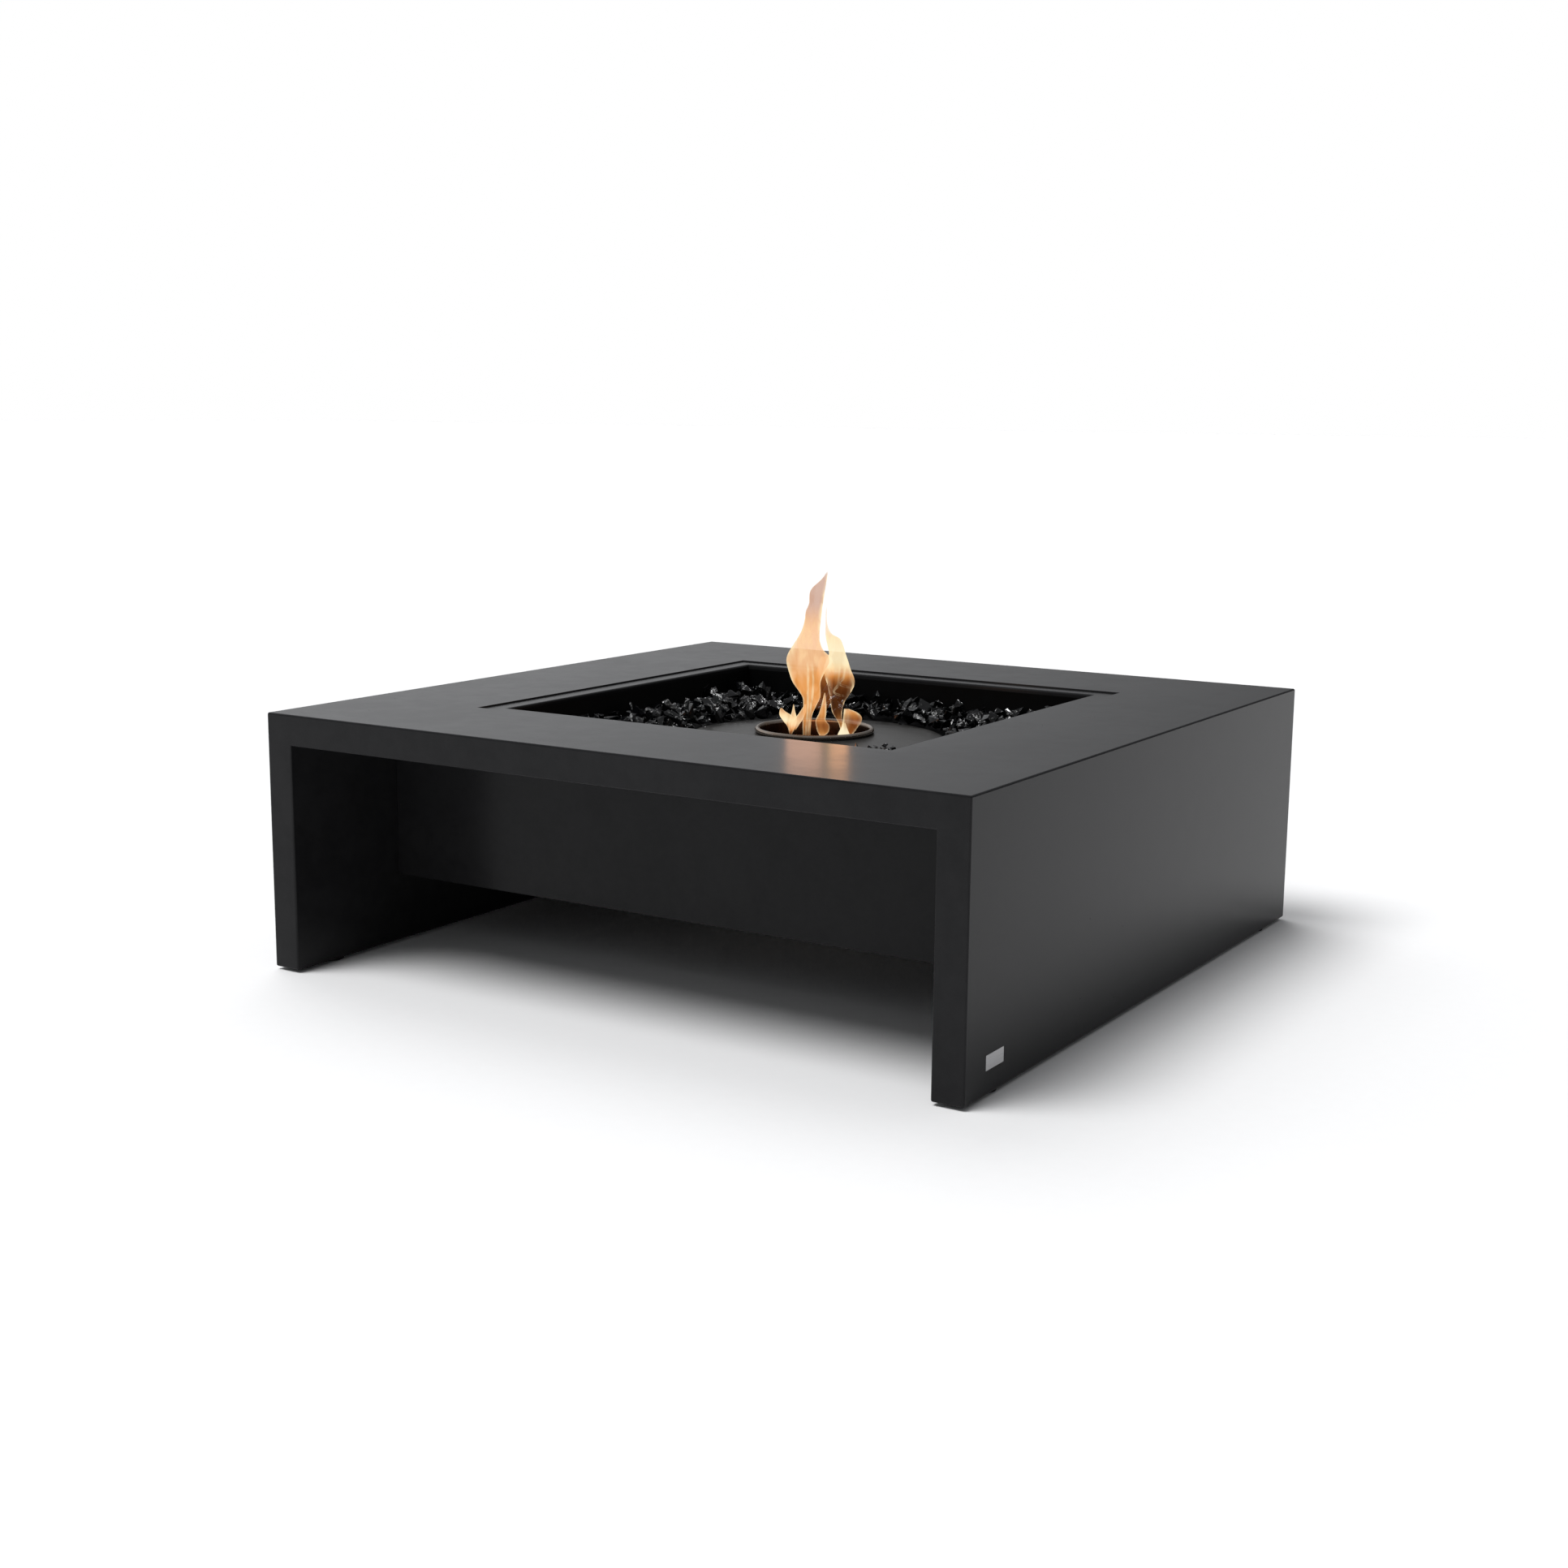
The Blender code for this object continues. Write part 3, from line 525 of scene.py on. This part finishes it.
def burner_pieces(plate_finish, steel, ring_steel):
    """The plate, collar and ring with round edges, in place of their faceted solids."""
    sheet, ease = 0.0015, 0.0005
    fold = (PLATE_R - sheet, PLATE_EDGE_TOP - sheet)
    outline = [(PLATE_HOLE_R, PLATE_HIGH.z - sheet), fold, (fold[0], PLATE_LOW.z),
               (PLATE_R, PLATE_LOW.z), *arc(fold, sheet, 0, 85, 8),
               *arc((PLATE_HOLE_R + ease, PLATE_HIGH.z - ease), ease, 85, 180, 4)]
    plate = lathed("burner_plate_fine", outline, FINE_STEPS, plate_finish)
    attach(plate, "burner")
    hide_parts("burner_plate")

    low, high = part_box("mouth_collar")
    outer, bore, ease = high.x - BURNER_X, 0.0749, 0.0004
    outline = [(bore, low.z), (outer, low.z),
               *arc((outer - ease, high.z - ease), ease, 0, 90, 4),
               *arc((bore + ease, high.z - ease), ease, 90, 180, 4)]
    collar = lathed("mouth_collar_fine", outline, FINE_STEPS, steel)
    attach(collar, "burner")
    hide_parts("mouth_collar")

    low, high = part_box("efficiency_ring")
    bead, inner, skirt, lip = 0.0033, 0.0733, 0.0743, 0.0004
    centre = (high.x - BURNER_X - bead, high.z - bead)
    outline = [(inner, low.z + lip), (inner + lip, low.z), (skirt, low.z),
               *arc(centre, bead, 220, 532, 36), (inner, high.z - bead - 3 * lip)]
    ring = lathed("efficiency_ring_fine", outline, FINE_STEPS, ring_steel)
    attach(ring, "ring")
    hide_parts("efficiency_ring")


# Flame: staged, not part of the object

FLAME_AROUND = 48
FLAME_UP = 120
LATERAL = Vector((math.cos(CAMERA_AZIMUTH), -math.sin(CAMERA_AZIMUTH), 0.0))
DEPTH = Vector((math.sin(CAMERA_AZIMUTH), math.cos(CAMERA_AZIMUTH), 0.0))
NO_EDGE = 0.01  # an edge glow too narrow to see
FLAME_SHIFT = 2.5  # millimetres to the right
FLAME_FLAT = 0.55  # depth of a tongue, of its width
GLOW_STEPS = 32
GLOW_FLAT = 0.8
GLOW_LOW, GLOW_HIGH = -0.010, 0.110  # of the reflected glow, from the table's top

# Rows of each tongue, in millimetres from the table's top and middle: height, left, right, depth,
# opacity, heat, width of the left and right edge's glow, and where its two bright folds run (90 is
# outside every tongue, so no fold shows)
MAIN_TONGUE = [
    (-54, -11, -1, 4, 0.70, 0.30, 2, 2, -7.5, -4),
    (-36, -11.5, -0.5, 5, 0.62, 0.28, 2, 2, -6.5, -3),
    (-22, -11.5, 1, 6, 0.70, 0.34, 2, 2, -5.5, -2), (-10, -11, 6, 6, 0.82, 0.40, 2, 2, -5, -1),
    (2, -12, 11.5, 6, 0.88, 0.42, 3, 3, -5, 0.5), (12, -18, 12, 5, 0.90, 0.42, 4, 3, -5, 1.5),
    (24, -26, 12, 4, 0.90, 0.42, 5, 3, -5, 2), (38, -31, 18, 3, 0.90, 0.50, 8, 6, -5, 1),
    (50, -34, 27, 2, 0.92, 0.58, 11, 10, -6, 0), (58, -33.5, 24, 2, 0.93, 0.60, 13, 8, -6, 0),
    (67, -29.5, 15, 2, 0.93, 0.62, 11, 3, -6, 0), (78, -22.5, 10.5, 3, 0.93, 0.62, 7, 2, -6, 0),
    (91, -15, 9.8, 4, 0.93, 0.60, 4, 4, -6, 0), (104, -10.8, 11, 5, 0.96, 0.58, 2, 6, -6, 0),
    (118, -9, 12.4, 5, 0.97, 0.56, 1, 6, -6, 0), (124, -6.6, 13, 5, 0.97, 0.55, 1, 5, -6, 0),
    (130, -4.6, 14, 5, 0.97, 0.55, 1, 5, -6, 0), (142, -4.2, 15.5, 4, 0.97, 0.55, 1, 5, -6, 0),
    (150, -0.5, 16.7, 3, 0.96, 0.55, 1, 4, -6, 0), (161, 11, 18.4, 2, 0.93, 0.55, 1, 3, -6, 0),
    (172, 19, 20, 2, 0.60, 0.55, 1, 1, -6, 0)]
RIGHT_TONGUE = [
    (-50, 41, 46, -3, 0.60, 0.50, 2, 2, 90, 90), (-32, 37, 42, -3, 0.40, 0.40, 2, 2, 90, 90),
    (-16, 28, 41, -3, 0.16, 0.15, 2.5, 2.5, 90, 90), (-2, 25, 44.5, -1, 0.16, 0.08, 4, 4, 90, 90),
    (8, 23.5, 51, 0, 0.22, 0.08, 6, 6, 33, 90), (20, 21, 57, 1, 0.36, 0.12, 9, 9, 35, 40),
    (30, 18, 56.5, 1, 0.66, 0.32, 10, 9, 36, 42), (41, 16, 52, 1, 0.90, 0.70, 10, 8, 37, 44),
    (52, 18.5, 48.5, 0, 0.95, 0.92, 10, 8, 38, 44), (62, 22.5, 45, 0, 0.95, 0.92, 6, 6, 38, 44),
    (73, 20.5, 41.5, -1, 0.93, 0.86, 5, 5, 38, 44), (83, 18.4, 36.5, -2, 0.92, 0.80, 4, 4, 38, 44),
    (90, 17.6, 25, -2, 0.85, 0.75, 2, 3, 38, 44), (104, 17.4, 19.6, -2, 0.60, 0.70, 1, 1, 38, 44),
    (126, 18, 18.6, -1, 0.40, 0.60, 1, 1, 38, 44)]
VEIL = [
    (-16, 6, 20, 8, 0.05, 0.05), (-2, 3, 27, 9, 0.30, 0.10), (12, 4, 28, 9, 0.34, 0.06),
    (26, 6, 29, 8, 0.46, 0.12), (38, 7, 30, 7, 0.74, 0.40), (50, 9, 28, 6, 0.88, 0.60),
    (58, 12, 24, 6, 0.80, 0.62)]
LEFT_LICKS = (
    [(-50, -29, -26, 16, 0.40, 0.15), (-39, -32, -22, 16, 0.70, 0.40),
     (-31, -38, -20, 15, 0.92, 0.85), (-24, -42.5, -26, 14, 0.92, 0.75),
     (-18, -43, -35, 13, 0.85, 0.60), (-13, -41.5, -40, 12, 0.6, 0.5)],
    [(-46, -29, -24, 14, 0.40, 0.30), (-35, -31, -20, 14, 0.90, 0.80),
     (-27, -29, -19.5, 13, 0.90, 0.75), (-17, -26, -22, 12, 0.85, 0.60),
     (-8, -24.4, -23.6, 12, 0.60, 0.50)],
    [(-43, -27, -21, 11, 0.40, 0.30), (-35, -27, -16, 10, 0.85, 0.65),
     (-27, -22, -11, 9, 0.88, 0.65), (-17, -15, -7.5, 8, 0.85, 0.55),
     (-7, -9, -7.4, 8, 0.60, 0.55)])
MIDDLE_LICK = [
    (-48, 12, 16, -10, 0.70, 0.60, 2, 2, 90, 90), (-42, 8.5, 23, -10, 0.50, 0.35, 3, 3, 90, 90),
    (-33, 6, 24, -10, 0.45, 0.22, 3, 3, 90, 90), (-26, 5.5, 19, -9, 0.60, 0.30, 3, 3, 90, 90),
    (-18, 9.5, 19.5, -9, 0.72, 0.38, 3, 3, 90, 90), (-8, 12.5, 19.8, -9, 0.75, 0.42, 3, 3, 90, 90),
    (2, 15, 19, -8, 0.72, 0.55, 2, 2, 90, 90), (11, 17, 18, -8, 0.50, 0.60, 1, 1, 90, 90)]
RIGHT_LICK = [
    (-50, 40, 50, -4, 0.55, 0.35, 8, 4, 90, 90), (-44, 40, 57, -3, 0.50, 0.22, 10, 4, 90, 90),
    (-37, 41, 62, -1, 0.45, 0.14, 12, 4, 90, 90), (-30, 42, 67, 1, 0.48, 0.14, 13, 5, 90, 90),
    (-23, 43, 67.5, 3, 0.60, 0.24, 13, 6, 90, 90), (-17, 43.5, 61, 4, 0.78, 0.45, 10, 6, 90, 90),
    (-12.5, 44, 50, 5, 0.75, 0.60, 4, 4, 90, 90)]
BRIGHT_FOOT = [
    (-50, 34, 54, -9, 0.95, 1.0), (-44, 36, 51, -8, 0.92, 1.0), (-37, 39.5, 48, -7, 0.80, 0.95),
    (-30, 42, 45.5, -6, 0.40, 0.80)]


def flame_material():
    """Glowing gas: smooth and see-through in its middle, pale along its edges and folds."""
    made = bpy.data.materials.new("flame_glow")
    made.use_nodes = True
    tree = made.node_tree
    tree.nodes.clear()

    def stored(name):
        return add(tree, "ShaderNodeAttribute", attribute_name=name).outputs["Fac"]

    height = stored("height")
    low_part = ramp(tree, height, 56.0, 40.0)
    glow = 0.0
    for edge in ("left_in", "right_in"):
        rim = math_node(tree, "POWER", ramp(tree, stored(edge), 0.0, 1.0, 1.0, 0.0, False), 1.7)
        glow = math_node(tree, "MAXIMUM", glow, rim)
    for fold in ("fold_1", "fold_2"):
        off = math_node(tree, "ABSOLUTE", stored(fold))
        line = math_node(tree, "MULTIPLY", ramp(tree, off, 0.3, 2.4, 0.58, 0.0), low_part)
        glow = math_node(tree, "MAXIMUM", glow, line)
    place = add(tree, "ShaderNodeCombineXYZ", {
        0: math_node(tree, "MULTIPLY", stored("across"), 0.045),
        1: math_node(tree, "MULTIPLY", height, 0.016), 2: stored("seed")}).outputs[0]
    drift = noise(tree, place, 2.2, 2, 0.45, 0.6)
    heat = math_node(tree, "ADD", stored("warmth"), ramp(tree, drift, 0.3, 0.7, -0.06, 0.07))
    scale = add(tree, "ShaderNodeValToRGB", {"Fac": heat})
    stops = scale.color_ramp.elements
    stops[0].color = (0.30, 0.075, 0.014, 1)
    stops[1].color = (1.0, 0.90, 0.62, 1)
    for at, colour in ((0.18, (0.52, 0.160, 0.034, 1)), (0.40, (0.90, 0.38, 0.105, 1)),
                       (0.60, (0.92, 0.53, 0.270, 1)), (0.80, (1.0, 0.76, 0.43, 1))):
        stops.new(at).color = colour
    dull = mix_colour(tree, ramp(tree, height, 92.0, 134.0, 0.0, 0.97), scale.outputs["Color"],
                      (0.60, 0.375, 0.285))
    patchy = noise(tree, place, 5.5, 1, 0.4)
    glow = math_node(tree, "MULTIPLY", glow, ramp(tree, patchy, 0.36, 0.60, 0.45, 1.0))
    colour = mix_colour(tree, glow, dull, (1.06, 0.84, 0.50))
    body = math_node(tree, "MULTIPLY", stored("opacity"), ramp(tree, drift, 0.3, 0.7, 0.90, 1.04))
    shown = math_node(tree, "MAXIMUM", body, math_node(tree, "MULTIPLY", glow, 0.96), clamp=True)
    # half of it on the near side and half on the far side of the tongue
    alpha = math_node(tree, "SUBTRACT", 1.0, math_node(tree, "SQRT", math_node(
        tree, "SUBTRACT", 1.0, math_node(tree, "MINIMUM", shown, 0.995))))
    alpha = math_node(tree, "MULTIPLY", alpha, stored("shown"))
    light = add(tree, "ShaderNodeEmission", {"Color": colour, "Strength": 1.05}).outputs[0]
    clear = add(tree, "ShaderNodeBsdfTransparent").outputs[0]
    mixed = add(tree, "ShaderNodeMixShader", {0: alpha, 1: clear, 2: light}).outputs[0]
    add(tree, "ShaderNodeOutputMaterial", {"Surface": mixed})
    return made


def tongue(name, rows, number, finish):
    """A flame tongue lofted through its rows, with its glow kept as attributes."""
    plain = (2.5, 2.5, 0.0, 0.0)  # edge glows and folds of a row that gives none
    rows = np.array([row if len(row) > 6 else (*row, *plain) for row in rows], float)
    along = np.linspace(0, 1, FLAME_UP)
    spread = np.linspace(0, 1, len(rows))
    columns = [catmull(spread, rows[:, k], along) for k in range(10)]
    points, stored = [], {key: [] for key in ("height", "opacity", "warmth", "left_in", "right_in",
                                              "fold_1", "fold_2", "across", "shown")}
    for i, row in enumerate(zip(*columns)):
        z, left, right, depth, opacity, heat, left_edge, right_edge, fold_1, fold_2 = row
        half, middle = max((right - left) / 2, 0.15), (left + right) / 2
        shown = min(1.0, along[i] / 0.05, (1 - along[i]) / 0.015)
        for j in range(FLAME_AROUND):
            turn = math.tau * j / FLAME_AROUND
            sway = 0.12 * math.sin(3 * turn + 5 * along[i] + number)
            across = middle + half * math.cos(turn)
            deep = depth + half * FLAME_FLAT * (math.sin(turn) + sway * math.sin(turn) ** 2)
            side = LATERAL * ((across + FLAME_SHIFT) / 1000)
            points.append(Vector((0, 0, TOP_Z + z / 1000)) + side + DEPTH * (deep / 1000))
            for key, value in (
                    ("height", z), ("opacity", opacity), ("warmth", heat), ("across", across),
                    ("left_in", (across - middle + half) / max(left_edge, NO_EDGE)),
                    ("right_in", (middle + half - across) / max(right_edge, NO_EDGE)),
                    ("fold_1", across - fold_1), ("fold_2", across - fold_2), ("shown", shown)):
                stored[key].append(value)
    faces = []
    for i in range(FLAME_UP - 1):
        for j in range(FLAME_AROUND):
            k = (j + 1) % FLAME_AROUND
            faces.append((i * FLAME_AROUND + j, i * FLAME_AROUND + k,
                          (i + 1) * FLAME_AROUND + k, (i + 1) * FLAME_AROUND + j))
    mesh = mesh_from(name, points, faces)
    stored["seed"] = [3.7 * number] * len(points)
    for key, data in stored.items():
        mesh.attributes.new(key, "FLOAT", "POINT").data.foreach_set(
            "value", np.array(data, np.float32))
    mesh.shade_smooth()
    made = link(name, mesh, finish)
    made.visible_shadow = False
    made.visible_diffuse = False
    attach(made, "burner")
    return made


def catmull(knots, values, wanted):
    """Values of a smooth curve through (knots, values), with even knots."""
    slopes = np.gradient(values, knots)
    step = knots[1] - knots[0]
    place = np.clip((wanted / step).astype(int), 0, len(knots) - 2)
    t = wanted / step - place
    a, b = values[place], values[place + 1]
    m, n = slopes[place] * step, slopes[place + 1] * step
    return ((2 * t ** 3 - 3 * t ** 2 + 1) * a + (t ** 3 - 2 * t ** 2 + t) * m
            + (-2 * t ** 3 + 3 * t ** 2) * b + (t ** 3 - t ** 2) * n)


def flame_glow(name, left, right, colour, strength, concrete_only):
    """An upright oval tube that only reflections on the concrete see: the flame's mirror image."""
    made = bpy.data.materials.new(name)
    made.use_nodes = True
    made.node_tree.nodes.clear()
    light = add(made.node_tree, "ShaderNodeEmission", {"Color": (*colour, 1),
                                                       "Strength": strength}).outputs[0]
    add(made.node_tree, "ShaderNodeOutputMaterial", {"Surface": light})
    points, faces = [], []
    for i in range(GLOW_STEPS):
        turn = math.tau * i / GLOW_STEPS
        across = (left + right) / 2 + (right - left) / 2 * math.cos(turn)
        deep = GLOW_FLAT * (right - left) / 2 * math.sin(turn)
        side = LATERAL * (across / 1000) + DEPTH * (deep / 1000)
        points += [side + Vector((0, 0, TOP_Z + high)) for high in (GLOW_LOW, GLOW_HIGH)]
        k = (i + 1) % GLOW_STEPS
        faces.append((2 * i, 2 * k, 2 * k + 1, 2 * i + 1))
    tube = link(name, mesh_from(name, points, faces), made)
    for kind in ("camera", "diffuse", "transmission", "volume_scatter", "shadow"):
        setattr(tube, f"visible_{kind}", False)
    tube.light_linking.receiver_collection = concrete_only
    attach(tube, "burner")


def flame():
    """The tongues, their reflection on the concrete, and a small lamp in the mouth."""
    finish = flame_material()
    tongue("flame_main", MAIN_TONGUE, 1, finish)
    tongue("flame_right", RIGHT_TONGUE, 2, finish)
    tongue("flame_veil", [(*row, 0, 0, 90, 90) for row in VEIL], 3, finish)
    for i, rows in enumerate(LEFT_LICKS):
        tongue(f"flame_left_lick_{i + 1}", rows, 4 + i, finish)
    tongue("flame_middle_lick", MIDDLE_LICK, 7, finish)
    tongue("flame_right_lick", RIGHT_LICK, 8, finish)
    tongue("flame_bright_foot", BRIGHT_FOOT, 9, finish)
    concrete_only = bpy.data.collections.new("flame_glow_receivers")
    concrete_only.objects.link(NODES["table_body"])
    flame_glow("flame_glow_left", -31, 17, (1.0, 0.62, 0.46), 1.85, concrete_only)
    flame_glow("flame_glow_right", 26, 52, (1.0, 0.55, 0.32), 2.4, concrete_only)
    glow = bpy.data.lights.new("flame_light", "POINT")
    glow.energy = 0.032
    glow.color = (1.0, 0.32, 0.09)
    glow.shadow_soft_size = 0.030
    lamp = bpy.data.objects.new("flame_light", glow)
    lamp.location = (BURNER_X, 0, TOP_Z - 0.020)
    bpy.context.scene.collection.objects.link(lamp)
    lamp.parent = frame["bodies"]["burner"]


# Stage

FLOOR_HALF = 60.0
SPARKLES = 14
SPARKLE_SIZE = 0.26
SPARKLE_POWER = 4.0
SPARKLE_AWAY = 2.1
# name, direction, spread in degrees and strength
SUNS = (("key", (-0.28, -0.40, 1.0), 30, 2.42), ("back_key", (-0.52, 0.42, 1.0), 34, 0.64))


def floor():
    bm = bmesh.new()
    bmesh.ops.create_grid(bm, x_segments=24, y_segments=24, size=FLOOR_HALF)
    mesh = bpy.data.meshes.new("studio_floor")
    bm.to_mesh(mesh)
    bm.free()
    made, tree, shader, where = new_material("pale_floor")
    grain = noise(tree, where, 60.0, 3, 0.5)
    wire(tree, shader, Base_Color=mix_colour(tree, grain, (0.88, 0.88, 0.885), (0.90, 0.90, 0.905)),
         Roughness=0.9, IOR=1.3)
    obj = link("studio_floor", mesh, made)


def world():
    """White to the camera; to the object, a dim studio that is brighter behind it on the left."""
    made = bpy.data.worlds.new("studio")
    bpy.context.scene.world = made
    made.use_nodes = True
    tree = made.node_tree
    tree.nodes.clear()
    where = add(tree, "ShaderNodeTexCoord").outputs["Generated"]

    def facing(direction, low, high, gain):
        dot = add(tree, "ShaderNodeVectorMath", {0: where, 1: direction},
                  operation="DOT_PRODUCT").outputs["Value"]
        return ramp(tree, dot, low, high, 0.0, gain)

    level = math_node(tree, "ADD", facing((-0.966, 0.259, 0.0), 0.40, 0.98, 0.56), 0.15)
    level = math_node(tree, "ADD", level, facing((-0.3, -0.95, 0.0), 0.3, 1.0, 0.13))
    level = math_node(tree, "ADD", level, facing((0.0, 0.0, 1.0), 0.3, 0.95, 0.20))
    studio = add(tree, "ShaderNodeBackground",
                 {"Color": (0.97, 0.98, 1.0, 1.0), "Strength": level}).outputs[0]
    white = add(tree, "ShaderNodeBackground", {"Color": (1, 1, 1, 1), "Strength": 1.0}).outputs[0]
    seen = add(tree, "ShaderNodeLightPath").outputs["Is Camera Ray"]
    mixed = add(tree, "ShaderNodeMixShader", {0: seen, 1: studio, 2: white}).outputs[0]
    add(tree, "ShaderNodeOutputWorld", {"Surface": mixed})


def aimed(obj, place, target):
    obj.location = place
    turn = (Vector(target) - Vector(place)).to_track_quat("-Z", "Y")
    obj.rotation_euler = turn.to_euler()


def lights():
    for name, place, spread, strength in SUNS:
        data = bpy.data.lights.new(name, "SUN")
        data.energy = strength
        data.angle = math.radians(spread)
        sun = bpy.data.objects.new(name, data)
        bpy.context.scene.collection.objects.link(sun)
        aimed(sun, Vector(place) * 3, (0, 0, 0))
        sun.visible_glossy = False
    # small lamps all round, for glints on the glass alone
    glass_only = bpy.data.collections.new("sparkle_receivers")
    for name in ("glass_chips", "plate_chips"):
        glass_only.objects.link(bpy.data.objects[name])
    for i in range(SPARKLES):
        turn = math.tau * (i + 0.3) / SPARKLES
        data = bpy.data.lights.new(f"sparkle_{i + 1}", "AREA")
        data.shape = "DISK"
        data.size = SPARKLE_SIZE
        data.energy = SPARKLE_POWER
        lamp = bpy.data.objects.new(data.name, data)
        bpy.context.scene.collection.objects.link(lamp)
        high = 1.5 + 0.7 * (i % 3)
        place = (SPARKLE_AWAY * math.cos(turn), SPARKLE_AWAY * math.sin(turn), high)
        aimed(lamp, place, (0, 0, 0.3))
        lamp.visible_diffuse = False
        lamp.visible_camera = False
        lamp.light_linking.receiver_collection = glass_only


def camera():
    data = bpy.data.cameras.new("camera")
    data.lens = CAMERA_LENS
    data.sensor_width = 36.0
    data.clip_end = 200.0
    obj = bpy.data.objects.new("camera", data)
    bpy.context.scene.collection.objects.link(obj)
    ahead = Vector((math.sin(CAMERA_AZIMUTH) * math.cos(CAMERA_ELEVATION),
                    math.cos(CAMERA_AZIMUTH) * math.cos(CAMERA_ELEVATION),
                    math.sin(CAMERA_ELEVATION)))
    right = ahead.cross(Vector((0, 0, 1))).normalized()
    up = right.cross(ahead)
    side = right * math.cos(CAMERA_ROLL) + up * math.sin(CAMERA_ROLL)
    top = up * math.cos(CAMERA_ROLL) - right * math.sin(CAMERA_ROLL)
    turn = Matrix((side, top, -ahead)).transposed().to_4x4()
    obj.matrix_world = Matrix.Translation(CAMERA_AT) @ turn
    bpy.context.scene.camera = obj


def main():
    steel = steel_material("brushed_stainless", (0.38, 0.355, 0.33), 0.26)
    ring_steel = steel_material("heat_tinted_ring", (0.44, 0.39, 0.345), 0.20, tint=0.40)
    plate_finish, glass = plate_material(), glass_material()
    zinc = zinc_material()
    finishes = {
        "concrete": concrete_material(), "black_steel": powder_material(),
        "burner_black": plate_finish, "stainless": steel, "zinc_steel": zinc,
        "badge_steel": steel_material("brushed_badge", (0.66, 0.66, 0.67), 0.30, turned=False),
        "black_glass": glass, "pad_rubber": rubber_material()}
    finish_cad(finishes)
    burner_pieces(plate_finish, steel, ring_steel)
    glass_pieces(glass)
    flame()
    floor()
    world()
    lights()
    camera()
    bpy.context.scene.view_settings.view_transform = "Standard"


main()
